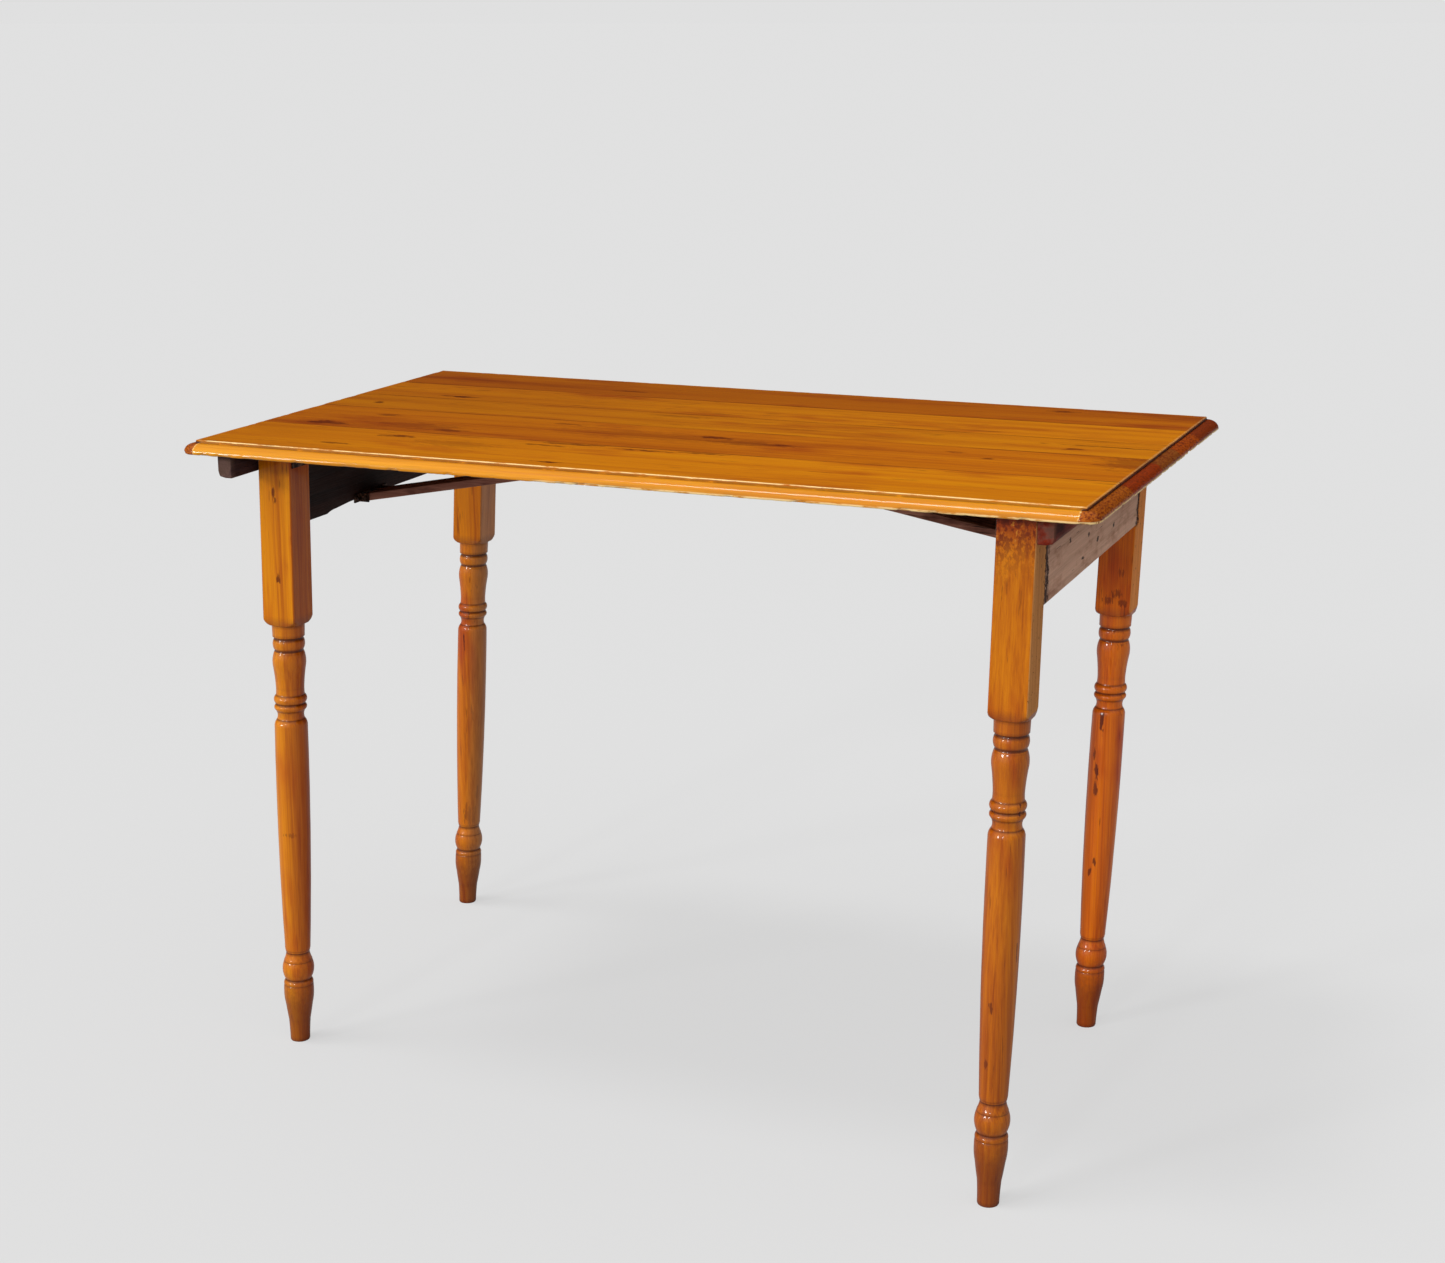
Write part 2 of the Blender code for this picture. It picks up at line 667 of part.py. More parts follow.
def make_bracket(word, outer_x, inward, iron, pivot):
    """A folded iron bracket: two ears against the apron and two cheeks for the pin."""
    inside = BRACE_WIDTH / 2 + GAP
    outside = inside + BRACKET_SHEET
    wide = BRACKET_WIDTH / 2
    sheet = BRACKET_SHEET
    outline = ((0, -wide), (sheet, -wide), (sheet, -outside), (BRACKET_REACH, -outside),
               (BRACKET_REACH, -inside), (sheet, -inside), (sheet, inside),
               (BRACKET_REACH, inside), (BRACKET_REACH, outside), (sheet, outside),
               (sheet, wide), (0, wide))
    back_x = outer_x + inward * (APRON_THICKNESS + GAP)
    bm = bmesh.new()
    bracket_y, middle = BRACES[word]["y"], BRACES[word]["pivot_height"]
    add_prism(bm, outline, lambda a, y, z: Vector((back_x + inward * a, bracket_y + y, z)),
              middle - BRACKET_HEIGHT / 2, middle + BRACKET_HEIGHT / 2)
    for vert in bm.verts:
        vert.co = against_apron(vert.co, word)
    bracket = add_object(f"{word}_brace_bracket", bm, iron, pivot=pivot)
    holes = bmesh.new()
    radius = BRACE_PIN_RADIUS + GAP
    reach = outside + 0.002
    for seat, direction, length in bracket_screws(word, outer_x, inward):
        add_pilot_hole(holes, seat, direction, 0.004)
    centre = brace_pivot(word, outer_x, inward)
    add_turning(holes, ((0, radius), (2 * reach, radius)), centre - Vector((0, reach, 0)), (0, 1, 0))
    cut_away(bracket, holes, f"{word}_bracket_holes")


def make_brace_pin(word, outer_x, inward, iron, pivot):
    """A nail through both cheeks with a small head at the front."""
    reach = BRACE_WIDTH / 2 + GAP + BRACKET_SHEET
    head = 0.0012
    start = brace_pivot(word, outer_x, inward) - Vector((0, reach + GAP + head, 0))
    outline = ((0, 0.0022), (head / 2, 0.0028), (head, 0.0028), (head, BRACE_PIN_RADIUS),
               (2 * reach + 0.0030, BRACE_PIN_RADIUS))
    bm = bmesh.new()
    add_turning(bm, outline, start, (0, 1, 0))
    add_object(f"{word}_brace_pin", bm, iron, pivot=pivot, smooth=True)


def make_keeper_cheeks(wood):
    """Three strips glued side by side under the top; the brace ends sit between them."""
    clear = BRACE_WIDTH / 2 + KEEPER_GROOVE_CLEARANCE
    top = UNDERSIDE - GAP
    front_y, back_y = BRACES["right"]["y"], BRACES["left"]["y"]
    strips = {
        "keeper_front_cheek": (front_y - clear - KEEPER_CHEEK, front_y - clear),
        "keeper_middle_cheek": (front_y + clear, back_y - clear),
        "keeper_back_cheek": (back_y + clear, back_y + clear + KEEPER_CHEEK),
    }
    for name, (low, high) in strips.items():
        bm = bmesh.new()
        add_box(bm, (KEEPER_X - KEEPER_HALF_LENGTH, low, top - KEEPER_DEPTH),
                (KEEPER_X + KEEPER_HALF_LENGTH, high, top))
        add_object(name, bm, wood)


def make_end(side, iron, woods):
    """Everything at one end: pivots, legs, apron, hinges, bracket and brace."""
    left = side < 0
    word = "left" if left else "right"
    inward = -side
    legs_x = LEFT_LEGS_X if left else RIGHT_LEGS_X
    outer_x = legs_x + side * LEG_SQUARE / 2
    front, back = f"front_{word}_leg", f"back_{word}_leg"

    frame_pivot = make_pivot(f"{word}_legs_pivot", hinge_axis(legs_x, inward))
    brace_place = brace_pivot(word, outer_x, inward)
    brace_turn = make_pivot(f"{word}_brace_pivot", brace_place, frame_pivot)
    for name in (front, back):
        make_leg(name, woods["leg"], frame_pivot, outer_x, inward)
        make_hinge(name, inward, iron, frame_pivot)
    make_apron(word, outer_x, inward, woods["apron"], frame_pivot)
    make_bracket(word, outer_x, inward, iron, frame_pivot)
    make_screws(f"{word}_bracket", bracket_screws(word, outer_x, inward), iron, frame_pivot)
    make_brace_pin(word, outer_x, inward, iron, frame_pivot)
    make_brace(word, outer_x, inward, woods["brace"], brace_turn)


def make_table():
    clear_scene()
    woods = {
        "top": finish_of("top_wood", (0.58, 0.27, 0.04), 0.35),
        "leg": finish_of("leg_wood", (0.45, 0.16, 0.02), 0.35),
        "apron": finish_of("apron_wood", (0.25, 0.17, 0.13), 0.75),
        "batten": finish_of("batten_wood", (0.17, 0.07, 0.04), 0.7),
        "brace": finish_of("brace_wood", (0.11, 0.05, 0.04), 0.7),
    }
    iron = finish_of("old_iron", (0.10, 0.085, 0.075), 0.55, 0.9)

    make_top_boards(woods["top"], top_pilot_holes())
    for side, word in ((-1, "left"), (1, "right")):
        make_batten(f"{word}_batten", batten_inner_x(side), side, woods["batten"])
        make_screws(f"{word}_batten", batten_screws(side), iron)
        make_end(side, iron, woods)
    make_keeper_cheeks(woods["brace"])


make_table()
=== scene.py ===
import json
import math

import bmesh
import bpy
from mathutils import Matrix, Vector, noise


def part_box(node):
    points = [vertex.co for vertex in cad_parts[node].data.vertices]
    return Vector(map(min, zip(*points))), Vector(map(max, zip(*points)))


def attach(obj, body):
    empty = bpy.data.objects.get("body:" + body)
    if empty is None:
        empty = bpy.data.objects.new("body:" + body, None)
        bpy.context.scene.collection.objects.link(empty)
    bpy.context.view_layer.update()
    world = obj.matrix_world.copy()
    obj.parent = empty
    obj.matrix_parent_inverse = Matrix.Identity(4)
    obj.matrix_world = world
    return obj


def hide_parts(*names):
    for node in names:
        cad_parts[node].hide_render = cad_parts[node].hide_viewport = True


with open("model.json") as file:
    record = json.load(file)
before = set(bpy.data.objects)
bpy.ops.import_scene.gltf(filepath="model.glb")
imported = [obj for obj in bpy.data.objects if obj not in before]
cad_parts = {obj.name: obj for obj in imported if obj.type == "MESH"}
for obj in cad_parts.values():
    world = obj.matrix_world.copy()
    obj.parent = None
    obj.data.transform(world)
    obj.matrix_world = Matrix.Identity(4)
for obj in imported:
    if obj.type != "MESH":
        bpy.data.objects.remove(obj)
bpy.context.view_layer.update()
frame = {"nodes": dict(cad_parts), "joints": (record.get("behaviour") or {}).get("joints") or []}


# ---------------------------------------------------------------- camera
# A 60 mm lens stands in front of the table and to its right, a little above the top.
# It looks down by about fifteen degrees, so that the top and all four feet are in view.
# Colours are shown straight, with no film curve.

camera_data = bpy.data.cameras.new("camera")
camera_data.sensor_width = 36.0
camera_data.lens = 59.97
camera_data.clip_end = 400.0
camera = bpy.data.objects.new("camera", camera_data)
bpy.context.scene.collection.objects.link(camera)
camera.matrix_world = (Matrix.Translation((0.936, -2.228, 1.0752))
                       @ Matrix.Rotation(math.radians(22.51), 4, "Z")
                       @ Matrix.Rotation(math.radians(90 - 14.555), 4, "X")
                       @ Matrix.Rotation(math.radians(-0.177), 4, "Z"))
bpy.context.scene.camera = camera
bpy.context.scene.view_settings.view_transform = "Standard"


# ---------------------------------------------------------------- studio
# Pale paper under the table, with soft light from above and from the front left and three
# lamps. The paper runs on far behind and is partly lit from within, so shadows stay faint.


def add_node(tree, kind, **settings):
    made = tree.nodes.new("ShaderNode" + kind)
    for setting, value in settings.items():
        setattr(made, setting, value)
    return made


def feed(tree, socket, value):
    """Join one socket to another, or set it to a plain value."""
    if isinstance(value, bpy.types.NodeSocket):
        tree.links.new(value, socket)
    else:
        socket.default_value = value


def work_out(tree, operation, *values, clamp=False):
    made = add_node(tree, "Math", operation=operation, use_clamp=clamp)
    for socket, value in zip(made.inputs, values):
        feed(tree, socket, value)
    return made.outputs[0]


def fade(tree, value, start, end):
    """0 at start and 1 at end, smooth between."""
    made = add_node(tree, "MapRange", interpolation_type="SMOOTHSTEP")
    feed(tree, made.inputs["Value"], value)
    made.inputs["From Min"].default_value = start
    made.inputs["From Max"].default_value = end
    return made.outputs[0]


PAPER_SEEN = 0.745
PAPER_PALE = 0.20
PAPER_BOUNCE = 0.43
PAPER_LIFT = 0.55
PAPER_REACH = 150
OVERHEAD_LIGHT = 0.62
WINDOW_LIGHT = 0.80
RIGHT_LIGHT = 0.38
ROOM_LIGHT = 0.02
paper_mesh = bpy.data.meshes.new("paper")
paper_mesh.from_pydata([(-PAPER_REACH, -PAPER_REACH, 0), (PAPER_REACH, -PAPER_REACH, 0),
                        (PAPER_REACH, PAPER_REACH, 0), (-PAPER_REACH, PAPER_REACH, 0)], [],
                       [(0, 1, 2, 3)])
paper = bpy.data.objects.new("paper", paper_mesh)
bpy.context.scene.collection.objects.link(paper)
paper_finish = bpy.data.materials.new("pale paper")
paper_finish.use_nodes = True
paper_shader = paper_finish.node_tree.nodes["Principled BSDF"]
paper_shader.inputs["Emission Color"].default_value = (1, 1, 1, 1)
tree = paper_finish.node_tree
straight = add_node(tree, "LightPath").outputs["Is Camera Ray"]
tree.links.new(work_out(tree, "MULTIPLY_ADD", straight, PAPER_PALE - PAPER_BOUNCE, PAPER_BOUNCE),
               paper_shader.inputs["Base Color"])
tree.links.new(work_out(tree, "MULTIPLY", straight, PAPER_LIFT),
               paper_shader.inputs["Emission Strength"])
paper_shader.inputs["Roughness"].default_value = 1.0
paper_shader.inputs["Specular IOR Level"].default_value = 0.0
paper_mesh.materials.append(paper_finish)

sky = bpy.data.worlds.new("studio light")
sky.use_nodes = True
bpy.context.scene.world = sky
tree = sky.node_tree
toward = add_node(tree, "TexCoord").outputs["Generated"]
height = add_node(tree, "SeparateXYZ")
tree.links.new(toward, height.inputs[0])
front_left = add_node(tree, "VectorMath", operation="DOT_PRODUCT")
tree.links.new(toward, front_left.inputs[0])
front_left.inputs[1].default_value = Vector((-0.55, -0.80, 0.24)).normalized()
overhead = work_out(tree, "MULTIPLY", fade(tree, height.outputs["Z"], 0.30, 0.95), OVERHEAD_LIGHT)
window = fade(tree, front_left.outputs["Value"], 0.35, 1.0)
window = work_out(tree, "MULTIPLY", window, WINDOW_LIGHT)
right = add_node(tree, "VectorMath", operation="DOT_PRODUCT")
tree.links.new(toward, right.inputs[0])
right.inputs[1].default_value = Vector((0.95, -0.25, 0.15)).normalized()
fill = work_out(tree, "MULTIPLY", fade(tree, right.outputs["Value"], 0.1, 1.0), RIGHT_LIGHT)
glow = work_out(tree, "ADD", work_out(tree, "ADD", overhead, window), fill)
glow = work_out(tree, "ADD", glow, ROOM_LIGHT)
behind = add_node(tree, "LightPath").outputs["Is Camera Ray"]
seen = add_node(tree, "Mix", data_type="FLOAT")
tree.links.new(behind, seen.inputs[0])
tree.links.new(glow, seen.inputs[2])
seen.inputs[3].default_value = PAPER_SEEN
tree.links.new(seen.outputs[0], tree.nodes["Background"].inputs["Strength"])
tree.nodes["Background"].inputs["Color"].default_value = (1, 1, 1, 1)


def add_lamp(name, toward_lamp, strength, spread):
    lamp_data = bpy.data.lights.new(name, "SUN")
    lamp_data.energy = strength
    lamp_data.angle = math.radians(spread)
    lamp = bpy.data.objects.new(name, lamp_data)
    lamp.rotation_euler = Vector(toward_lamp).to_track_quat("Z", "Y").to_euler()
    bpy.context.scene.collection.objects.link(lamp)


add_lamp("key lamp", (-0.62, -0.78, 0.32), 0.95, 11)
add_lamp("front lamp", (-0.12, -0.95, 0.42), 0.40, 6)
add_lamp("top lamp", (-0.30, -0.15, 0.94), 0.80, 14)


# ---------------------------------------------------------------- top boards
# Five softwood boards glued edge to edge, then planed, with a quarter-round moulding
# worked on all four edges and an amber varnish over it. The arrises are worn pale.

MOULDING_WIDTH = 0.013
MOULDING_STEP = 0.003
CORNER_RADIUS = 0.016
front_board, back_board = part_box("top_board_front"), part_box("top_board_back")
TOP_LOW = Vector((front_board[0].x, front_board[0].y, front_board[0].z))
TOP_HIGH = Vector((back_board[1].x, back_board[1].y, back_board[1].z))
TOP_MIDDLE = (TOP_LOW + TOP_HIGH) / 2


def shade(red, green, blue):
    """A colour as a paint chart gives it, from 0 to 255, in linear light."""
    return (*((part / 255) ** 2.2 for part in (red, green, blue)), 1.0)


def tint(tree, share, under, over, mode="MIX"):
    made = add_node(tree, "Mix", data_type="RGBA", blend_type=mode)
    feed(tree, made.inputs[0], share)
    feed(tree, made.inputs[6], under)
    feed(tree, made.inputs[7], over)
    return made.outputs[2]


def laid(tree, grain, along, across, seed):
    """Places on the piece, stretched so that figure runs with the grain (axis 0, 1 or 2)."""
    made = add_node(tree, "Mapping")
    tree.links.new(add_node(tree, "TexCoord").outputs["Object"], made.inputs["Vector"])
    made.inputs["Scale"].default_value = [along if axis == grain else across for axis in range(3)]
    made.inputs["Location"].default_value = (seed * 1.7, seed * 3.1, seed * 5.3)
    return made.outputs["Vector"]


def cloud(tree, vector, detail=3.0, rough=0.55, warp=0.0):
    made = add_node(tree, "TexNoise")
    tree.links.new(vector, made.inputs["Vector"])
    made.inputs["Scale"].default_value = 1.0
    made.inputs["Detail"].default_value = detail
    made.inputs["Roughness"].default_value = rough
    made.inputs["Distortion"].default_value = warp
    return made.outputs["Fac"]


def mark_on(tree, name):
    """How strongly the mesh is marked there, such as for wear."""
    return add_node(tree, "Attribute", attribute_name=name).outputs["Fac"]


def tones(tree, share, *steps):
    """A colour that runs through (position, colour) steps as share rises."""
    made = add_node(tree, "ValToRGB")
    ramp = made.color_ramp
    while len(ramp.elements) < len(steps):
        ramp.elements.new(0.5)
    for element, (position, colour) in zip(ramp.elements, steps):
        element.position = position
        element.color = colour
    tree.links.new(share, made.inputs["Fac"])
    return made.outputs["Color"]


def wood_figure(tree, grain, seed, width=1.0):
    """Bands, growth lines and fibres that run with the grain, mixed to one share."""
    bands = cloud(tree, laid(tree, grain, 1.4, 34 / width, seed), 2.0)
    lines = cloud(tree, laid(tree, grain, 3.2, 190 / width, seed + 1), 4.0, 0.6, 0.4)
    fibres = cloud(tree, laid(tree, grain, 14, 850, seed + 2), 2.0)
    share = work_out(tree, "MULTIPLY_ADD", bands, 0.42, work_out(tree, "MULTIPLY", lines, 0.38))
    return work_out(tree, "MULTIPLY_ADD", fibres, 0.20, share), fibres


def short_flecks(tree, grain, seed, amount):
    """Short dark dashes along the grain."""
    dashes = cloud(tree, laid(tree, grain, 26, 330, seed + 3), 2.0, 0.5)
    patches = cloud(tree, laid(tree, grain, 3, 14, seed + 4), 2.0)
    dense = work_out(tree, "MULTIPLY_ADD", patches, 0.35, dashes)
    return work_out(tree, "MULTIPLY", fade(tree, dense, 0.83, 0.92), amount)


def scar(tree, place, size, grain, seed):
    """A mask for one dent or stain with a ragged edge; a size of 0 means any depth."""
    made = add_node(tree, "Mapping")
    tree.links.new(add_node(tree, "TexCoord").outputs["Object"], made.inputs["Vector"])
    scale = [2 / part if part else 0.0 for part in size]
    made.inputs["Scale"].default_value = scale
    made.inputs["Location"].default_value = [-a * b for a, b in zip(place, scale)]
    away = add_node(tree, "VectorMath", operation="LENGTH")
    tree.links.new(made.outputs["Vector"], away.inputs[0])
    ragged = cloud(tree, laid(tree, grain, 90, 420, seed), 3.0, 0.6)
    reach = work_out(tree, "MULTIPLY_ADD", ragged, 3.2, away.outputs["Value"])
    return fade(tree, reach, 2.55, 2.15)


def new_finish(name):
    made = bpy.data.materials.new(name)
    made.use_nodes = True
    return made, made.node_tree, made.node_tree.nodes["Principled BSDF"]


def raise_grain(tree, shader, share, depth, strength=1.0):
    bump = add_node(tree, "Bump")
    bump.inputs["Distance"].default_value = depth
    bump.inputs["Strength"].default_value = strength
    tree.links.new(share, bump.inputs["Height"])
    tree.links.new(bump.outputs["Normal"], shader.inputs["Normal"])


def board_finish(name, seed, dark, middle, light, moulded, end_grain, scars, joints):
    made, tree, shader = new_finish(name)
    share, fibres = wood_figure(tree, 0, seed)
    colour = tones(tree, share, (0.38, dark), (0.50, middle), (0.62, light))
    blotches = cloud(tree, laid(tree, 0, 5, 16, seed + 5), 4.0, 0.6)
    colour = tint(tree, fade(tree, blotches, 0.50, 0.75), colour, shade(212, 176, 150), "MULTIPLY")
    colour = tint(tree, short_flecks(tree, 0, seed, 0.6), colour, shade(100, 44, 4))
    for number, (x, y, length, width, depth) in enumerate(scars):
        spot = scar(tree, (x, y, 0), (1.3 * length, 1.3 * width, 0), 0, seed + 7 + number)
        colour = tint(tree, work_out(tree, "MULTIPLY", spot, depth), colour, shade(92, 28, 2))

    # The top is darker towards the back and the left.
    places = add_node(tree, "SeparateXYZ")
    tree.links.new(add_node(tree, "TexCoord").outputs["Object"], places.inputs[0])
    across = work_out(tree, "MULTIPLY_ADD", places.outputs["X"], -0.80, places.outputs["Y"])
    colour = tint(tree, fade(tree, across, -0.35, 0.50), colour, shade(222, 214, 210), "MULTIPLY")

    # A fine dark line shows along each glued joint, broken here and there.
    scuffs = cloud(tree, laid(tree, 0, 55, 420, seed + 8), 4.0, 0.65)
    breaks = cloud(tree, laid(tree, 0, 9, 9, seed + 6), 3.0)
    for joint in joints:
        off = work_out(tree, "ABSOLUTE", work_out(tree, "SUBTRACT", places.outputs["Y"], joint))
        line = work_out(tree, "MULTIPLY", fade(tree, off, 0.0016, 0.0006),
                        fade(tree, breaks, 0.36, 0.56))
        colour = tint(tree, work_out(tree, "MULTIPLY", line, 0.8), colour, shade(96, 40, 4))

    # The moulding at each end is end grain, which drinks the stain and tears at its border.
    end_speckle = cloud(tree, laid(tree, 1, 260, 500, seed + 5), 4.0, 0.7)
    end_colour = tint(tree, fade(tree, end_speckle, 0.44, 0.62), end_grain, shade(112, 42, 6))
    below_flat = fade(tree, places.outputs["Z"], TOP_HIGH.z - 0.0008, TOP_HIGH.z - 0.0022)
    amber = tint(tree, fade(tree, share, 0.38, 0.62), *moulded)
    colour = tint(tree, work_out(tree, "MULTIPLY", below_flat, 0.75), colour, amber)
    beyond = work_out(tree, "ABSOLUTE", places.outputs["X"])
    beyond = work_out(tree, "MULTIPLY_ADD", below_flat, 0.0045, beyond)
    torn = cloud(tree, laid(tree, 0, 200, 200, seed + 6), 4.0, 0.7)
    beyond = work_out(tree, "MULTIPLY_ADD", torn, 0.005, beyond)
    at_end = fade(tree, beyond, 0.4545, 0.4549)
    colour = tint(tree, at_end, colour, end_colour)
    border = work_out(tree, "ABSOLUTE", work_out(tree, "SUBTRACT", beyond, 0.4546))
    border = work_out(tree, "MULTIPLY", fade(tree, border, 0.0009, 0.0003), below_flat)
    border = work_out(tree, "MULTIPLY", border, fade(tree, scuffs, 0.40, 0.52))
    colour = tint(tree, border, colour, shade(242, 190, 110))

    # Worn arrises show pale wood, the foot of the step has dirt and painted shade, the underside is
    # bare.
    below = fade(tree, places.outputs["Z"], TOP_LOW.z + 0.0004, TOP_LOW.z + 0.0001)
    bare = tint(tree, share, shade(84, 58, 40), shade(140, 104, 74))
    colour = tint(tree, below, colour, bare)
    worn = work_out(tree, "MULTIPLY", mark_on(tree, "worn"), fade(tree, scuffs, 0.36, 0.50))
    colour = tint(tree, worn, colour, shade(255, 218, 150))
    # Painted shade, with some dirt: the quirk at the foot of the step is darkened.
    dirt_and_shade = work_out(tree, "MULTIPLY", mark_on(tree, "dirt_and_shade"), fade(tree, scuffs, 0.30, 0.50))
    colour = tint(tree, dirt_and_shade, colour, shade(66, 30, 8))
    tree.links.new(colour, shader.inputs["Base Color"])

    rough = work_out(tree, "MULTIPLY_ADD", blotches, 0.30, 0.24)
    rough = work_out(tree, "MULTIPLY_ADD", below, 0.4, rough)
    rough = work_out(tree, "MULTIPLY_ADD", worn, 0.2, rough, clamp=True)
    tree.links.new(rough, shader.inputs["Roughness"])
    gloss = work_out(tree, "MULTIPLY_ADD", at_end, -0.30, 0.45)
    gloss = work_out(tree, "ADD", work_out(tree, "MULTIPLY", below_flat, gloss), 0.03)
    dull = work_out(tree, "MAXIMUM", below, work_out(tree, "MULTIPLY", mark_on(tree, "dirt_and_shade"), 2.0))
    gloss = work_out(tree, "MULTIPLY", gloss, work_out(tree, "SUBTRACT", 1.0, dull, clamp=True))
    tree.links.new(gloss, shader.inputs["Coat Weight"])
    shader.inputs["Specular IOR Level"].default_value = 0.08
    shader.inputs["Coat Roughness"].default_value = 0.08
    raise_grain(tree, shader, work_out(tree, "ADD", fibres, scuffs), 0.0003, 0.35)
    return made


def round_the_top(inset):
    """Points round the top at one inset from its edge, as many for every inset."""
    corner = max(0.0006, CORNER_RADIUS - 1.2 * inset)
    half_x = TOP_HIGH.x - TOP_MIDDLE.x - inset - corner
    half_y = TOP_HIGH.y - TOP_MIDDLE.y - inset - corner
    points = []
    for quarter, (side_x, side_y, runs) in enumerate(((1, 1, 310), (-1, 1, 176), (-1, -1, 310),
                                                      (1, -1, 176))):
        centre = Vector((TOP_MIDDLE.x + side_x * half_x, TOP_MIDDLE.y + side_y * half_y))
        for step in range(9):
            angle = math.radians(90) * (quarter + step / 8)
            points.append(centre + corner * Vector((math.cos(angle), math.sin(angle))))
        end_angle = math.radians(90) * (quarter + 1)
        start = points[-1]
        length = 2 * (half_x if quarter % 2 == 0 else half_y)
        ahead = Vector((-math.sin(end_angle), math.cos(end_angle)))
        for step in range(1, runs):
            points.append(start + ahead * length * step / runs)
    return points


def moulding_rows():
    """Rows from the underside up to the flat: (inset, height, wear, dirt and painted shade)."""
    under, flat = TOP_LOW.z, TOP_HIGH.z
    lip, quirk = under + 0.0016, flat - MOULDING_STEP
    rows = [(0.0030, under, 0.0, 0.0), (0.0014, under, 0.0, 0.0),
            (0.0005, under + 0.0004, 1.0, 0.0), (0.0001, under + 0.0010, 1.0, 0.0),
            (0.0, lip, 0.5, 0.0)]
    for step in range(1, 13):
        angle = math.radians(90) * step / 12
        rows.append(((MOULDING_WIDTH - 0.0012) * (1 - math.cos(angle)),
                     lip + (quirk - lip) * math.sin(angle), 0.0, 0.25 if step == 12 else 0.0))
    rows += [(MOULDING_WIDTH - 0.0006, quirk - 0.0003, 0.0, 1.0),
             (MOULDING_WIDTH - 0.0001, quirk + 0.0004, 0.0, 1.0),
             (MOULDING_WIDTH, flat - 0.0012, 0.1, 0.6),
             (MOULDING_WIDTH + 0.0001, flat - 0.0005, 1.0, 0.0),
             (MOULDING_WIDTH + 0.0007, flat, 1.0, 0.0), (MOULDING_WIDTH + 0.0015, flat, 0.5, 0.0),
             (MOULDING_WIDTH + 0.0022, flat, 0.0, 0.0)]
    return rows


# The lip is rows 1 to 4 of the moulding. A lump has gone from it at some places along the
# front edge: where, half width and depth.
LIP_ROWS = (1, 2, 3, 4)
FRONT_KNOCKS = ((-0.022, 0.006, 0.0016), (0.019, 0.009, 0.0014), (0.006, 0.004, 0.0010),
                (0.291, 0.007, 0.0015), (-0.380, 0.004, 0.0008), (0.452, 0.005, 0.0016))


def knocked(place, row, rows):
    """How far wear has pushed a point of the moulding inwards, and up or down."""
    if row in LIP_ROWS:
        chips = noise.noise(Vector((place.x * 75, place.y * 75, 4))) - 0.12
        small = noise.noise(Vector((place.x * 260, place.y * 260, 8))) * 0.00025
        cut = max(0.0, chips) * 0.0042 + max(0.0, small)
        for knock, width, depth in FRONT_KNOCKS if place.y < 0 else ():
            cut += depth * max(0.0, 1 - abs(place.x - knock) / width) ** 0.5
        return cut, cut * (0.9 if row < 3 else 0.35)
    if row >= rows - 4:
        waver = noise.noise(Vector((place.x * 90, place.y * 90, 1)))
        return waver * 0.00035, -max(0.0, waver - 0.25) * 0.0012 if row < rows - 2 else 0.0
    return noise.noise(Vector((place.x * 30, place.y * 30, 2))) * 0.00012 + 0.00012, 0.0


# The lip is rubbed pale towards the right: where that begins, over how far it comes in,
# and how little is rubbed before it. A chip this deep shows all bare wood.
RUBBED_FROM, RUBBED_OVER, LEAST_RUBBED = -0.16, 0.12, 0.15
BARE_CHIP = 1 / 900


def whole_top():
    """The glued-up top in one piece, marked where it is worn and where dirt and painted shade
    darken it.
    """
    bm = bmesh.new()
    wear_mark = bm.verts.layers.float.new("worn")
    dirt_and_shade_mark = bm.verts.layers.float.new("dirt_and_shade")
    rows = moulding_rows()
    loops = []
    for number, (inset, level, wear, dirt_and_shade) in enumerate(rows):
        loop = []
        for place, inner in zip(round_the_top(inset), round_the_top(inset + 0.002)):
            push, lift = knocked(place, number, len(rows))
            inward = (inner - place).normalized()
            point = place + inward * push
            vert = bm.verts.new((point.x, point.y, level + lift))
            at_end = abs(abs(point.x) - TOP_HIGH.x) < MOULDING_WIDTH + 0.004
            if number in LIP_ROWS:
                rubbed = min(1.0, max(LEAST_RUBBED, (point.x - RUBBED_FROM) / RUBBED_OVER))
                wear = (wear + push / BARE_CHIP) * rubbed
            vert[wear_mark] = min(1.0, wear * (0.25 if at_end else 1.0))
            vert[dirt_and_shade_mark] = dirt_and_shade * (1.0 if at_end else 0.6)
            loop.append(vert)
        loops.append(loop)
    count = len(loops[0])
    for lower, upper in zip(loops, loops[1:]):
        for index in range(count):
            following = (index + 1) % count
            bm.faces.new((lower[index], lower[following], upper[following], upper[index]))
    bm.faces.new(loops[0][::-1])
    bm.faces.new(loops[-1])
    bmesh.ops.recalc_face_normals(bm, faces=bm.faces)
    return bm


def saw_off(bm, saw_y, keep_above):
    cut = bmesh.ops.bisect_plane(
        bm, geom=bm.verts[:] + bm.edges[:] + bm.faces[:], dist=1e-7, plane_co=(0, saw_y, 0),
        plane_no=(0, 1, 0), clear_inner=keep_above, clear_outer=not keep_above)
    edges = [item for item in cut["geom_cut"] if isinstance(item, bmesh.types.BMEdge)]
    bmesh.ops.edgeloop_fill(bm, edges=edges)


def add_piece(name, bm, finish, body, slot, *nodes):
    """Make the mesh a piece that moves with a body and stands for the plain CAD nodes."""
    mesh = bpy.data.meshes.new(name)
    bmesh.ops.recalc_face_normals(bm, faces=bm.faces)
    bm.to_mesh(mesh)
    bm.free()
    mesh.materials.append(finish)
    mesh.shade_smooth()
    mesh.set_sharp_from_angle(angle=math.radians(38))
    piece = bpy.data.objects.new(name, mesh)
    bpy.context.scene.collection.objects.link(piece)
    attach(piece, body)
    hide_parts(*nodes)
    return piece


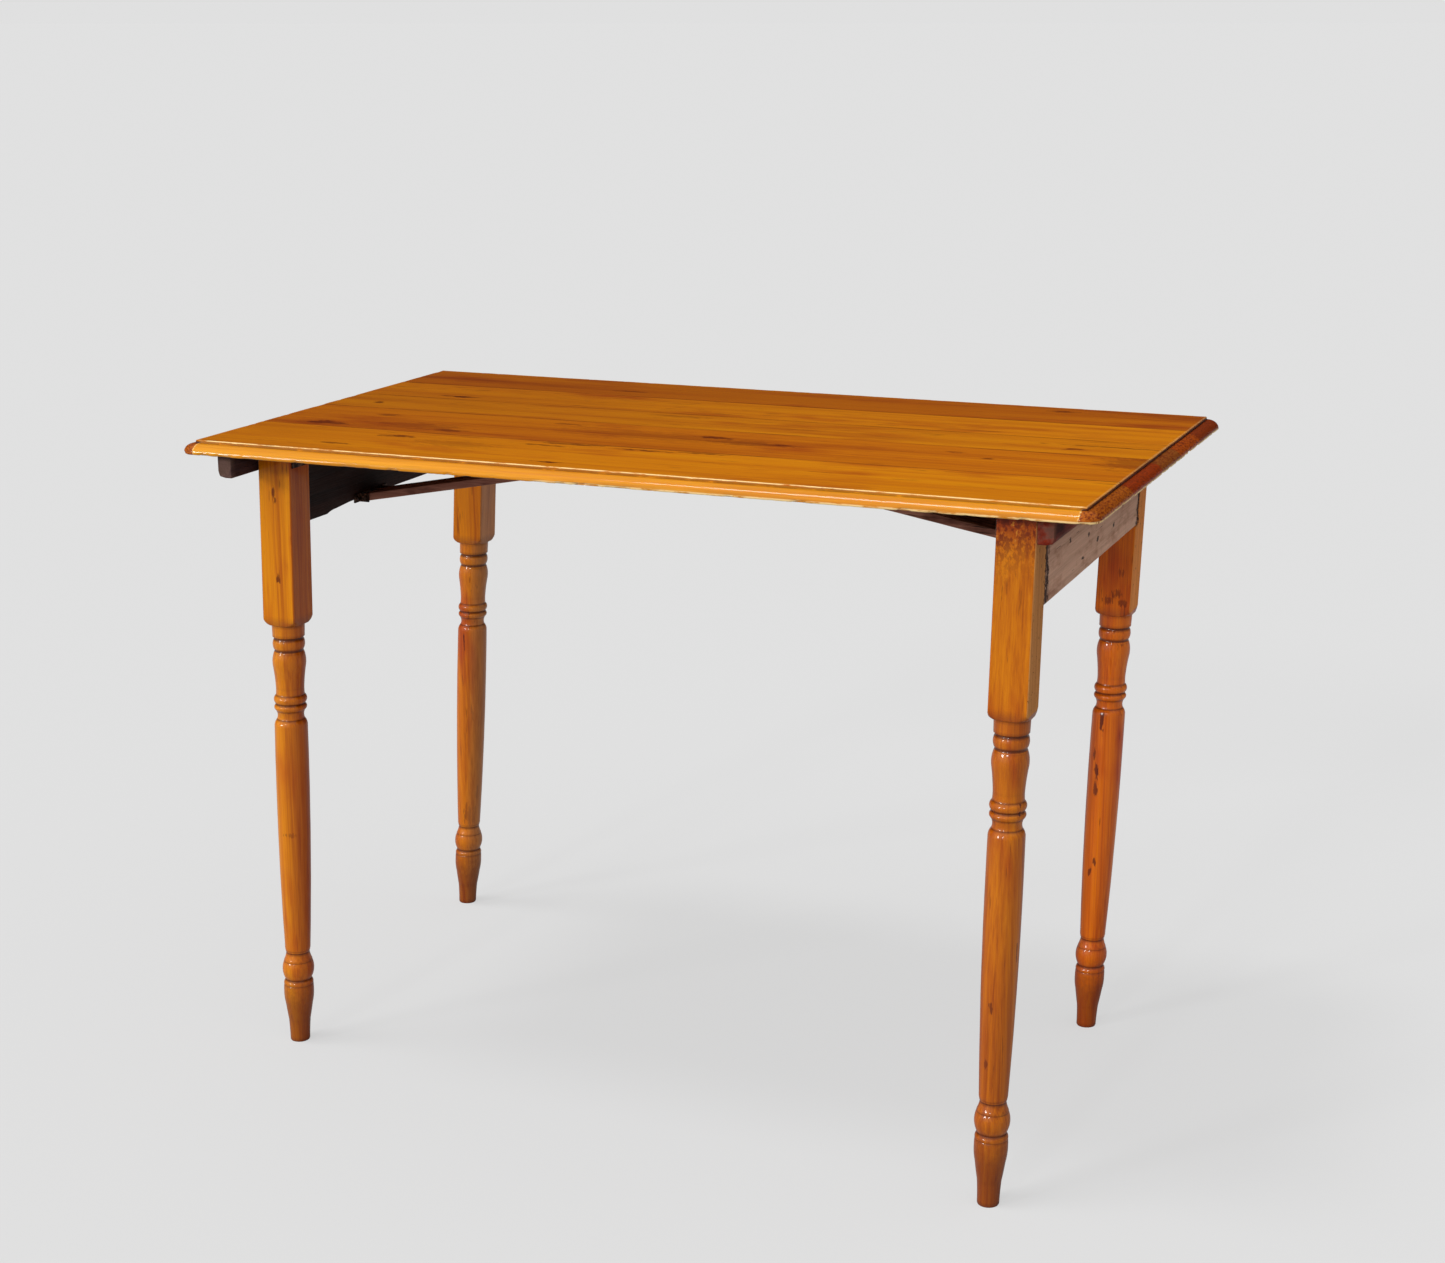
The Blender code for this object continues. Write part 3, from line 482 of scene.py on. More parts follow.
BRIGHT_EDGE = (shade(218, 134, 8), shade(246, 168, 20))
BROWN_EDGE = (shade(176, 92, 8), shade(206, 118, 14))
BOARDS = {
    "front": {"dark": shade(190, 104, 1), "middle": shade(210, 122, 2), "light": shade(221, 136, 4),
              "end": shade(176, 92, 22),
              "scars": ((-0.277, -0.152, 0.034, 0.010, 0.8), (-0.315, -0.209, 0.030, 0.006, 0.6),
                        (-0.115, -0.145, 0.050, 0.006, 0.6), (-0.072, -0.225, 0.026, 0.005, 0.9),
                        (-0.089, -0.130, 0.060, 0.008, 0.7), (-0.011, -0.136, 0.055, 0.006, 0.8),
                        (0.049, -0.131, 0.045, 0.006, 0.6), (-0.200, -0.170, 0.080, 0.030, 0.25))},
    "second": {"dark": shade(174, 88, 1), "middle": shade(199, 110, 2), "light": shade(211, 123, 4),
               "end": shade(158, 58, 8),
               "scars": ((-0.388, -0.107, 0.040, 0.016, 0.8), (-0.349, -0.042, 0.022, 0.010, 0.6),
                         (-0.242, -0.105, 0.034, 0.010, 0.7), (-0.285, -0.090, 0.090, 0.030, 0.3),
                         (-0.148, -0.026, 0.034, 0.008, 0.5), (0.025, -0.045, 0.036, 0.010, 0.8),
                         (0.070, -0.063, 0.070, 0.020, 0.45), (0.101, -0.061, 0.030, 0.008, 0.7),
                         (0.309, -0.055, 0.009, 0.006, 0.8), (0.269, -0.033, 0.016, 0.005, 0.7),
                         (0.442, -0.034, 0.060, 0.060, 0.45), (-0.040, -0.060, 0.200, 0.040, 0.2))},
    "middle": {"dark": shade(184, 101, 1), "middle": shade(206, 121, 2),
               "light": shade(216, 133, 4), "end": shade(152, 84, 30),
               "scars": ((-0.402, 0.028, 0.010, 0.012, 0.7), (-0.061, 0.060, 0.060, 0.010, 0.35),
                         (0.371, 0.023, 0.020, 0.008, 0.7), (0.402, 0.046, 0.110, 0.006, 0.6))},
    "fourth": {"dark": shade(188, 104, 1), "middle": shade(210, 123, 2),
               "light": shade(220, 135, 4), "end": shade(178, 78, 12),
               "scars": ((-0.336, 0.093, 0.034, 0.007, 1.0),)},
    "back": {"dark": shade(156, 76, 2), "middle": shade(181, 95, 3), "light": shade(195, 111, 5),
             "end": shade(140, 56, 12),
             "scars": ((0.308, 0.236, 0.030, 0.008, 0.8), (-0.179, 0.196, 0.040, 0.008, 0.5))},
}
for number, (place, board) in enumerate(BOARDS.items()):
    node = "top_board_" + place
    low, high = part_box(node)
    bm = whole_top()
    if place != "front":
        saw_off(bm, low.y, keep_above=True)
    if place != "back":
        saw_off(bm, high.y, keep_above=False)
    finish = board_finish("varnished board, " + place, 11 * number, board["dark"], board["middle"],
                          board["light"], BRIGHT_EDGE if place == "front" else BROWN_EDGE,
                          board["end"], board["scars"], (low.y, high.y))
    add_piece("board_" + place, bm, finish, "top", "top_wood", node)


# ---------------------------------------------------------------- battens
# Two strips of dark-stained softwood under the ends of the top, screwed up from below.
# Their lower corners are planed off and knocked, and they hold the boards flat.


def rounded_section(width, depth, easing, pitch=0.006):
    """Outline of a sawn strip, width by depth about its middle, with eased corners."""
    points = []
    corners = ((1, 1), (-1, 1), (-1, -1), (1, -1))
    for quarter, (side_a, side_b) in enumerate(corners):
        centre = Vector((side_a * (width / 2 - easing), side_b * (depth / 2 - easing)))
        for step in range(4):
            angle = math.radians(90) * (quarter + step / 3)
            points.append(centre + easing * Vector((math.cos(angle), math.sin(angle))))
        after = corners[(quarter + 1) % 4]
        start = points[-1].copy()
        end_centre = Vector((after[0] * (width / 2 - easing), after[1] * (depth / 2 - easing)))
        angle = math.radians(90) * (quarter + 1)
        end = end_centre + easing * Vector((math.cos(angle), math.sin(angle)))
        count = max(1, round((end - start).length / pitch))
        points += [start.lerp(end, step / count) for step in range(1, count)]
    return points


def loft(sections):
    """A closed skin over rings of points, each ring as long as the first."""
    bm = bmesh.new()
    rings = [[bm.verts.new(point) for point in section] for section in sections]
    count = len(rings[0])
    for lower, upper in zip(rings, rings[1:]):
        for index in range(count):
            following = (index + 1) % count
            bm.faces.new((lower[index], lower[following], upper[following], upper[index]))
    ends = [bm.faces.new(rings[0][::-1]), bm.faces.new(rings[-1])]
    bmesh.ops.inset_individual(bm, faces=ends, thickness=0.0009)
    return bm


def hand_worn(point, amount, scale=60):
    """A point moved a little, so that a sawn face isn't dead flat."""
    return point + noise.noise_vector(point * scale) * amount


def stained_finish(name, grain, seed, dark, light, edge, edge_share=0.5):
    made, tree, shader = new_finish(name)
    share, fibres = wood_figure(tree, grain, seed, 0.7)
    colour = tones(tree, share, (0.40, dark), (0.60, light))
    grime = cloud(tree, laid(tree, grain, 14, 40, seed + 5), 4.0, 0.6)
    colour = tint(tree, fade(tree, grime, 0.45, 0.70), colour, shade(130, 110, 105), "MULTIPLY")
    colour = tint(tree, short_flecks(tree, grain, seed, 0.7), colour, shade(22, 14, 10))
    rubbed = work_out(tree, "MULTIPLY", mark_on(tree, "worn"), fade(tree, grime, 0.40, 0.55))
    colour = tint(tree, work_out(tree, "MULTIPLY", rubbed, edge_share), colour, edge)
    tree.links.new(colour, shader.inputs["Base Color"])
    tree.links.new(work_out(tree, "MULTIPLY_ADD", grime, 0.35, 0.50), shader.inputs["Roughness"])
    shader.inputs["Specular IOR Level"].default_value = 0.12
    ridges = work_out(tree, "ADD", lines_of(tree, grain, seed), fibres)
    raise_grain(tree, shader, ridges, 0.0006, 0.7)
    return made


def lines_of(tree, grain, seed):
    """Ridges that are left where the soft early wood has shrunk."""
    return cloud(tree, laid(tree, grain, 5, 420, seed + 9), 3.0, 0.6)


def mark_edges(bm, name="worn", sharpness=20):
    """Mark the points that lie on an eased arris."""
    layer = bm.verts.layers.float.new(name)
    bm.normal_update()
    for edge in bm.edges:
        if len(edge.link_faces) == 2 and edge.calc_face_angle(0.0) > math.radians(sharpness):
            for vert in edge.verts:
                vert[layer] = 1.0


for word, side, dark, light in (("left", -1, shade(44, 28, 28), shade(80, 58, 58)),
                                ("right", 1, shade(90, 20, 2), shade(130, 38, 6))):
    low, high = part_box(word + "_batten")
    middle = (low + high) / 2
    outline = rounded_section(high.x - low.x, high.z - low.z, 0.0011)
    stations = [low.y, low.y + 0.0010]
    stations += [low.y + (high.y - low.y) * step / 60 for step in range(1, 60)]
    stations += [high.y - 0.0010, high.y]
    sections = []
    for number, station in enumerate(stations):
        drawn_in = 0.0007 if number in (0, len(stations) - 1) else 0.0
        ring = []
        for a, b in outline:
            reach = side * a
            planed = max(0.0, (reach - b) - (high.x - low.x) / 2 - (high.z - low.z) / 2 + 0.0036)
            a, b = a - side * planed / 2, b + planed / 2
            a, b = a * (1 - drawn_in / 0.008), b * (1 - drawn_in / 0.012)
            point = hand_worn(Vector((middle.x + a, station, middle.z + b)), 0.00012)
            point.z = min(point.z, high.z)
            ring.append(point)
        sections.append(ring)
    bm = loft(sections)
    mark_edges(bm)
    finish = stained_finish("dark stain, " + word + " batten", 1, 60 + side, dark, light,
                            shade(150, 116, 100), 0.3)
    add_piece(word + "_end_batten", bm, finish, "top", "batten_wood", word + "_batten")


# ---------------------------------------------------------------- legs
# Each leg is turned from one square billet: a long shaft, a vase between rings, a ball and
# a pegged foot, with the top left square for the apron. All are varnished but the outside.

LEG_SQUARE = 0.037
BLOCK_BOTTOM = 0.473
NECK_TOP = 0.4615
NECK_RADIUS = 0.0168
PLUMB_ABOVE = 0.638
# Each row: height and radius at the top of a feature, swell of its middle, steps, dirt and painted
# shade at its top.
TURNING = (
    (0.0012, 0.0104, 0.0000, 1, 0.5), (0.0240, 0.0115, -0.0002, 6, 0.1),
    (0.0420, 0.0143, 0.0001, 5, 0.0), (0.0575, 0.0158, 0.0005, 5, 0.0),
    (0.0640, 0.0155, 0.0001, 3, 0.35), (0.0646, 0.0152, 0.0000, 1, 0.6),
    (0.0652, 0.0155, 0.0000, 1, 0.1), (0.0694, 0.0144, 0.0005, 4, 0.4),
    (0.0706, 0.0136, 0.0000, 1, 1.0), (0.0716, 0.0141, 0.0000, 1, 0.7),
    (0.0905, 0.0152, 0.0020, 9, 0.2), (0.0912, 0.0148, 0.0000, 1, 0.7),
    (0.0920, 0.0149, 0.0000, 1, 0.2), (0.1000, 0.0124, -0.0003, 4, 0.5),
    (0.1012, 0.0122, 0.0000, 1, 1.0), (0.1035, 0.0130, 0.0002, 2, 0.4),
    (0.1080, 0.0135, 0.0002, 3, 0.0), (0.1340, 0.0145, 0.0000, 4, 0.0),
    (0.3535, 0.0171, 0.0012, 26, 0.0), (0.3552, 0.0168, 0.0001, 2, 0.0),
    (0.3592, 0.0150, 0.0003, 3, 0.3), (0.3600, 0.0144, 0.0000, 1, 0.9),
    (0.3690, 0.0147, -0.0010, 6, 0.5), (0.3698, 0.0152, 0.0000, 1, 0.6),
    (0.3756, 0.0157, 0.0014, 7, 0.5), (0.3768, 0.0151, 0.0000, 1, 1.0),
    (0.3780, 0.0159, 0.0000, 1, 0.7), (0.3850, 0.0159, 0.0012, 7, 0.2),
    (0.3862, 0.0148, 0.0000, 1, 0.8), (0.3935, 0.0145, -0.0001, 4, 0.1),
    (0.4160, 0.0167, -0.0003, 8, 0.0), (0.4315, 0.0157, 0.0010, 8, 0.2),
    (0.4332, 0.0149, 0.0001, 2, 0.9), (0.4346, 0.0148, 0.0000, 1, 1.0),
    (0.4358, 0.0156, 0.0000, 1, 0.6), (0.4452, 0.0158, 0.0009, 7, 0.5),
    (0.4464, 0.0150, 0.0000, 1, 1.0), (0.4478, 0.0150, 0.0000, 1, 1.0),
    (0.4487, 0.0165, 0.0000, 1, 0.5), (NECK_TOP, NECK_RADIUS, 0.0000, 4, 0.4))


def foot_and_top(node):
    """Middles of a leg's foot and of its upper end, read from the CAD node."""
    points = [vert.co for vert in frame["nodes"][node].data.vertices]
    low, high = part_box(node)
    ends = []
    for level in (low.z, high.z):
        ring = [point for point in points if abs(point.z - level) < 0.0001]
        ends.append(Vector(((min(p.x for p in ring) + max(p.x for p in ring)) / 2,
                            (min(p.y for p in ring) + max(p.y for p in ring)) / 2, level)))
    return ends


def out_of_plumb(point, lean):
    drop = max(0.0, PLUMB_ABOVE - point.z) / PLUMB_ABOVE
    return Vector((point.x + lean.x * drop, point.y + lean.y * drop, point.z))


def leg_rows(top_z):
    """Rows of (height, radius, dirt and painted shade) up the leg."""
    rows = [(0.0, 0.0098, 0.8)]
    for height, radius, swell, steps, dirt_and_shade in TURNING:
        from_height, from_radius, from_dirt_and_shade = rows[-1]
        for step in range(1, steps + 1):
            part = step / steps
            bulge = swell * 4 * part * (1 - part)
            edge = from_dirt_and_shade * max(0.0, 1 - part * steps) + dirt_and_shade * max(0.0, 1 - (1 - part) * steps)
            rows.append((from_height + (height - from_height) * part,
                         from_radius + (radius - from_radius) * part + bulge, edge))
    corner = LEG_SQUARE / math.sqrt(2)
    for step in range(1, 11):
        part = step / 10
        rows.append((NECK_TOP + (BLOCK_BOTTOM - NECK_TOP) * part,
                     NECK_RADIUS + (corner - NECK_RADIUS) * math.sqrt(1 - (1 - part) ** 2),
                     0.5 * (1 - part)))
    for step in range(1, 29):
        rows.append((BLOCK_BOTTOM + (top_z - BLOCK_BOTTOM) * step / 28, corner, 0.0))
    return rows


def leg_angles():
    """Angles round the leg, close together at the corners of the square."""
    across = (-44.3, -43.2, -41, -37, -31, -24, -16, -8, 0, 8, 16, 24, 31, 37, 41, 43.2, 44.3)
    return [math.radians(quarter * 90 + angle) for quarter in range(4) for angle in across]


def leg_mesh(foot, top, side, seed):
    bm = bmesh.new()
    dirt_and_shade_mark = bm.verts.layers.float.new("dirt_and_shade")
    outside_mark = bm.verts.layers.float.new("outside")
    inside_and_painted_shade_mark = bm.verts.layers.float.new("inside_and_painted_shade")
    wear_mark = bm.verts.layers.float.new("worn")
    lean = foot - top
    half = LEG_SQUARE / 2
    angles = leg_angles()
    rings = []
    for height, radius, dirt_and_shade in leg_rows(top.z):
        ring = []
        for angle in angles:
            across = max(abs(math.cos(angle)), abs(math.sin(angle)))
            on_corner = height > BLOCK_BOTTOM - 0.004 and across < 0.715
            worn = noise.noise(Vector((seed, angle * 2, height * 70))) if on_corner else 0.0
            limit = min(half / across, half * math.sqrt(2) - 0.0006 - max(0.0, worn) * 0.0014)
            reach = min(radius, limit)
            if reach == radius:
                reach += noise.noise(Vector((math.cos(angle), math.sin(angle), height * 25)) * 1.5
                                     + Vector((seed, 0, 0))) * 0.00012
            local = Vector((reach * math.cos(angle), reach * math.sin(angle), height))
            vert = bm.verts.new(out_of_plumb(local + Vector((top.x, top.y, 0)), lean))
            square = height > BLOCK_BOTTOM - 0.006
            vert[dirt_and_shade_mark] = dirt_and_shade
            vert[outside_mark] = float(square and side * local.x > half - 0.0009)
            # Painted shade: the half of a turned part that faces in towards the table is marked for
            # a deeper tone.
            turned_in_painted_shade = max(0.0, -side * math.cos(angle) - 0.2) / 0.8
            vert[inside_and_painted_shade_mark] = float(-side * local.x > half - 0.0009) if square else turned_in_painted_shade
            vert[wear_mark] = float(on_corner)
            ring.append(vert)
        rings.append(ring)
    count = len(angles)
    for lower, upper in zip(rings, rings[1:]):
        for index in range(count):
            following = (index + 1) % count
            bm.faces.new((lower[index], lower[following], upper[following], upper[index]))
    bm.faces.new(rings[0][::-1])
    bm.faces.new(rings[-1])
    return bm


def on_leg(foot, top, height, bearing, outward):
    """A place on a leg's surface at a height and a compass bearing in degrees."""
    angle = math.radians(bearing)
    across = max(abs(math.cos(angle)), abs(math.sin(angle)))
    reach = LEG_SQUARE / 2 / across if height > BLOCK_BOTTOM else outward
    local = Vector((top.x + reach * math.cos(angle), top.y + reach * math.sin(angle), height))
    return out_of_plumb(local, foot - top)


def leg_finish(name, seed, dark, middle, light, inner, outer, marks, seam, aged):
    made, tree, shader = new_finish(name)
    share, fibres = wood_figure(tree, 2, seed, 0.6)
    colour = tones(tree, share, (0.40, dark), (0.50, middle), (0.60, light))
    patches = cloud(tree, laid(tree, 2, 6, 22, seed + 5), 3.0, 0.6)
    colour = tint(tree, fade(tree, patches, 0.50, 0.72), colour, shade(220, 172, 124), "MULTIPLY")
    colour = tint(tree, short_flecks(tree, 2, seed, 0.5), colour, shade(86, 32, 6))
    for number, (place, length, width, depth) in enumerate(marks):
        spot = scar(tree, place, (width, width, length), 2, seed + 20 + number)
        colour = tint(tree, work_out(tree, "MULTIPLY", spot, depth), colour, shade(84, 24, 4))
    # A deeper tone on the inner faces of the block, partly the wood's own, and painted shade on the
    # inward half of the turning.
    inner_wood_and_painted_shade = tones(tree, share, (0.38, inner[0]), (0.62, inner[1]))
    inside_and_painted_shade = mark_on(tree, "inside_and_painted_shade")
    colour = tint(tree, work_out(tree, "MULTIPLY", inside_and_painted_shade, 0.8), colour, inner_wood_and_painted_shade)

    # Stain, dirt and painted shade sit in the grooves, stain and a painted shadow of the top darken
    # the head, and the varnish at the head has crazed and darkened.
    # Painted shade, with some dirt: the grooves of the turning and the neck under the block are
    # darkened.
    dirt_and_shade = work_out(tree, "MULTIPLY", mark_on(tree, "dirt_and_shade"), 0.85)
    colour = tint(tree, dirt_and_shade, colour, shade(70, 24, 6))
    places = add_node(tree, "SeparateXYZ")
    tree.links.new(add_node(tree, "TexCoord").outputs["Object"], places.inputs[0])
    level = places.outputs["Z"]
    turned = fade(tree, level, BLOCK_BOTTOM, BLOCK_BOTTOM - 0.010)
    colour = tint(tree, turned, colour, shade(246, 240, 212), "MULTIPLY")
    crazing = cloud(tree, laid(tree, 2, 170, 260, seed + 6), 5.0, 0.7)
    head = fade(tree, work_out(tree, "MULTIPLY_ADD", patches, 0.12, level), 0.63, 0.715)
    # Painted shadow of the top, with stain: the head of the leg is darkened just under the top.
    stain_and_painted_shadow_under_top = fade(tree, work_out(tree, "MULTIPLY_ADD", patches, 0.03, level), 0.622, 0.668)
    colour = tint(tree, stain_and_painted_shadow_under_top, colour, shade(196, 120, 80), "MULTIPLY")
    head = work_out(tree, "MULTIPLY", head, aged)
    crazed = work_out(tree, "MULTIPLY", head, fade(tree, crazing, 0.46, 0.54))
    colour = tint(tree, work_out(tree, "MULTIPLY", crazed, 0.9), colour, shade(104, 36, 6))
    flaked = work_out(tree, "MULTIPLY", head, fade(tree, crazing, 0.40, 0.34))
    colour = tint(tree, work_out(tree, "MULTIPLY", flaked, 0.6), colour, shade(226, 150, 50))
    foot_worn = fade(tree, work_out(tree, "MULTIPLY_ADD", crazing, 0.05, level), 0.115, 0.060)
    colour = tint(tree, work_out(tree, "MULTIPLY", foot_worn, 0.65), colour, shade(112, 48, 8))
    rubbed = work_out(tree, "MULTIPLY", mark_on(tree, "worn"), fade(tree, crazing, 0.45, 0.6))
    colour = tint(tree, work_out(tree, "MULTIPLY", rubbed, 0.5), colour, shade(226, 158, 66))

    # The outer face of the block was never varnished. It has gone grey, with old glue on it,
    # most of all along the joint with the apron.
    outside = mark_on(tree, "outside")
    bare = tones(tree, share, (0.38, outer[0]), (0.62, outer[1]))
    glue = fade(tree, work_out(tree, "MULTIPLY_ADD", head, 0.06, crazing), 0.60, 0.68)
    bare = tint(tree, glue, bare, shade(62, 38, 26))
    colour = tint(tree, outside, colour, bare)
    off = work_out(tree, "ABSOLUTE", work_out(tree, "SUBTRACT", places.outputs["Y"], seam))
    off = work_out(tree, "MULTIPLY_ADD", crazing, 0.040, off)
    gap = work_out(tree, "MULTIPLY", fade(tree, off, 0.0265, 0.0230),
                   fade(tree, level, 0.556, 0.562))
    gap = work_out(tree, "MULTIPLY", gap, work_out(tree, "SUBTRACT", 1.0, inside_and_painted_shade))
    colour = tint(tree, gap, colour, shade(48, 26, 14))
    tree.links.new(colour, shader.inputs["Base Color"])

    rough = work_out(tree, "MULTIPLY_ADD", patches, 0.22, 0.26)
    rough = work_out(tree, "MULTIPLY_ADD", crazed, 0.2, rough)
    tree.links.new(work_out(tree, "MULTIPLY_ADD", outside, 0.45, rough, clamp=True),
                   shader.inputs["Roughness"])
    gloss = work_out(tree, "MULTIPLY_ADD", turned, 0.25, 0.25)
    gloss = work_out(tree, "MULTIPLY_ADD", outside, -0.50, gloss, clamp=True)
    tree.links.new(gloss, shader.inputs["Coat Weight"])
    shader.inputs["Coat Roughness"].default_value = 0.06
    shader.inputs["Specular IOR Level"].default_value = 0.12
    relief = work_out(tree, "MULTIPLY_ADD", crazing, 1.2, fibres)
    raise_grain(tree, shader, relief, 0.0004, 0.45)
    return made


GREY_BROWN = (shade(150, 104, 84), shade(196, 152, 128))
# Each mark: height, bearing, how far out it lies, length up the leg, width and strength.
# "aged" is how far the varnish at the head of the leg has crazed.
LEGS = {
    "front_left": {
        "side": -1, "aged": 0.15,
        "wood": (shade(186, 98, 2), shade(216, 126, 3), shade(230, 142, 6)),
        "inner": (shade(168, 66, 12), shade(206, 100, 30)), "outer": GREY_BROWN,
        "marks": ((0.601, -95, 0, 0.014, 0.004, 0.8), (0.594, -88, 0, 0.010, 0.003, 0.7),
                  (0.512, -86, 0, 0.009, 0.006, 0.8), (0.236, -66, 0.0158, 0.006, 0.016, 0.4))},
    "back_left": {
        "side": -1, "aged": 0.15,
        "wood": (shade(170, 80, 2), shade(204, 110, 3), shade(222, 128, 6)),
        "inner": (shade(176, 110, 66), shade(206, 138, 88)), "outer": GREY_BROWN,
        "marks": ((0.346, -97, 0.0172, 0.026, 0.003, 0.9), (0.148, -25, 0.0150, 0.034, 0.003, 0.9),
                  (0.120, -60, 0.0142, 0.030, 0.020, 0.4))},
    "front_right": {
        "side": 1, "aged": 1.0,
        "wood": (shade(160, 78, 2), shade(190, 102, 3), shade(208, 120, 6)),
        "inner": (shade(160, 70, 10), shade(190, 96, 20)),
        "outer": (shade(176, 112, 62), shade(220, 152, 88)),
        "marks": ((0.378, -32, 0.0158, 0.026, 0.003, 1.0), (0.246, -17, 0.0160, 0.032, 0.003, 0.9),
                  (0.195, -96, 0.0155, 0.014, 0.005, 0.7),
                  (0.140, -109, 0.0148, 0.012, 0.005, 0.7))},
    "back_right": {
        "side": 1, "aged": 0.25,
        "wood": (shade(190, 82, 2), shade(220, 106, 3), shade(236, 124, 6)),
        "inner": (shade(150, 66, 10), shade(180, 90, 20)),
        "outer": (shade(206, 118, 54), shade(240, 154, 86)),
        "marks": ((0.348, -100, 0.0172, 0.026, 0.007, 0.9),
                  (0.312, -119, 0.0172, 0.016, 0.005, 0.9),
                  (0.291, -106, 0.0170, 0.020, 0.007, 0.9),
                  (0.272, -105, 0.0168, 0.018, 0.006, 0.8),
                  (0.192, -90, 0.0155, 0.010, 0.005, 0.8), (0.180, -108, 0.0153, 0.010, 0.005, 0.8),
                  (0.486, -79, 0, 0.012, 0.012, 0.6), (0.477, -60, 0, 0.010, 0.010, 0.6),
                  (0.478, -103, 0, 0.010, 0.012, 0.6), (0.510, -75, 0, 0.012, 0.010, 0.5),
                  (0.566, -106, 0, 0.030, 0.012, 0.5))},
}
leg_ends = {}
for number, (place, leg) in enumerate(LEGS.items()):
    foot, top = foot_and_top(place + "_leg")
    leg_ends[place] = (foot, top)
    marks = [(on_leg(foot, top, height, bearing, outward), length, width, depth)
             for height, bearing, outward, length, width, depth in leg["marks"]]
    seam = top.y + (LEG_SQUARE / 2 if place.startswith("front") else -LEG_SQUARE / 2)
    finish = leg_finish("varnished leg, " + place.replace("_", " "), 100 + 13 * number,
                        *leg["wood"], leg["inner"], leg["outer"], marks, seam, leg["aged"])
    body = place.split("_")[1] + "_leg_frame"
    add_piece(place + "_turned_leg", leg_mesh(foot, top, leg["side"], number * 7.0), finish, body,
              "leg_wood", place + "_leg")


# ---------------------------------------------------------------- aprons
# A board between the two legs at each end, tenoned into their blocks and flush with them
# outside. Outside it is bare and weathered; inside it is dark wood, painted nearly black with
# painted shade.

APRON_THICKNESS = 0.018
LEFT_STEP = 0.0020
LEFT_RISE = 0.0025
NAIL_HOLES = {"left": ((0.060, 0.585), (-0.020, 0.620)),
              "right": ((0.057, 0.582), (-0.045, 0.593), (-0.008, 0.581), (-0.117, 0.601),
                        (-0.065, 0.574))}


def apron_finish(name, seed, outer_light, outer_dark, inner_light, inner_dark, holes, seams):
    made, tree, shader = new_finish(name)
    share, fibres = wood_figure(tree, 1, seed, 1.0)
    weather = cloud(tree, laid(tree, 1, 22, 60, seed + 5), 5.0, 0.65)
    outer = tones(tree, share, (0.40, outer_dark), (0.60, outer_light))
    outer = tint(tree, fade(tree, weather, 0.46, 0.74), outer, shade(206, 186, 176), "MULTIPLY")
    cracks = cloud(tree, laid(tree, 1, 18, 300, seed + 3), 3.0, 0.5, 0.8)
    outer = tint(tree, fade(tree, cracks, 0.70, 0.74), outer, shade(60, 44, 36))
    for number, (y, z) in enumerate(holes):
        hole = scar(tree, (0, y, z), (0, 0.010, 0.006), 1, seed + 20 + number)
        outer = tint(tree, work_out(tree, "MULTIPLY", hole, 0.9), outer, shade(30, 20, 16))
    places = add_node(tree, "SeparateXYZ")
    tree.links.new(add_node(tree, "TexCoord").outputs["Object"], places.inputs[0])
    ragged = cloud(tree, laid(tree, 2, 120, 220, seed + 6), 5.0, 0.7)
    for seam in seams:
        off = work_out(tree, "ABSOLUTE", work_out(tree, "SUBTRACT", places.outputs["Y"], seam))
        off = work_out(tree, "MULTIPLY_ADD", ragged, 0.040, off)
        outer = tint(tree, fade(tree, off, 0.0265, 0.0230), outer, shade(58, 32, 18))
    # Painted shade, on dark wood: the inner face is made nearly black.
    inner = tones(tree, share, (0.40, inner_dark), (0.60, inner_light))
    colour = tint(tree, mark_on(tree, "inside_and_painted_shade"), outer, inner)
    rubbed = work_out(tree, "MULTIPLY", mark_on(tree, "worn"), fade(tree, weather, 0.45, 0.6))
    colour = tint(tree, work_out(tree, "MULTIPLY", rubbed, 0.35), colour, shade(150, 122, 104))
    tree.links.new(colour, shader.inputs["Base Color"])
    tree.links.new(work_out(tree, "MULTIPLY_ADD", weather, 0.3, 0.6), shader.inputs["Roughness"])
    shader.inputs["Specular IOR Level"].default_value = 0.25
    relief = work_out(tree, "MULTIPLY_ADD", cracks, -0.8, lines_of(tree, 1, seed))
    raise_grain(tree, shader, work_out(tree, "ADD", relief, fibres), 0.0008, 0.7)
    return made


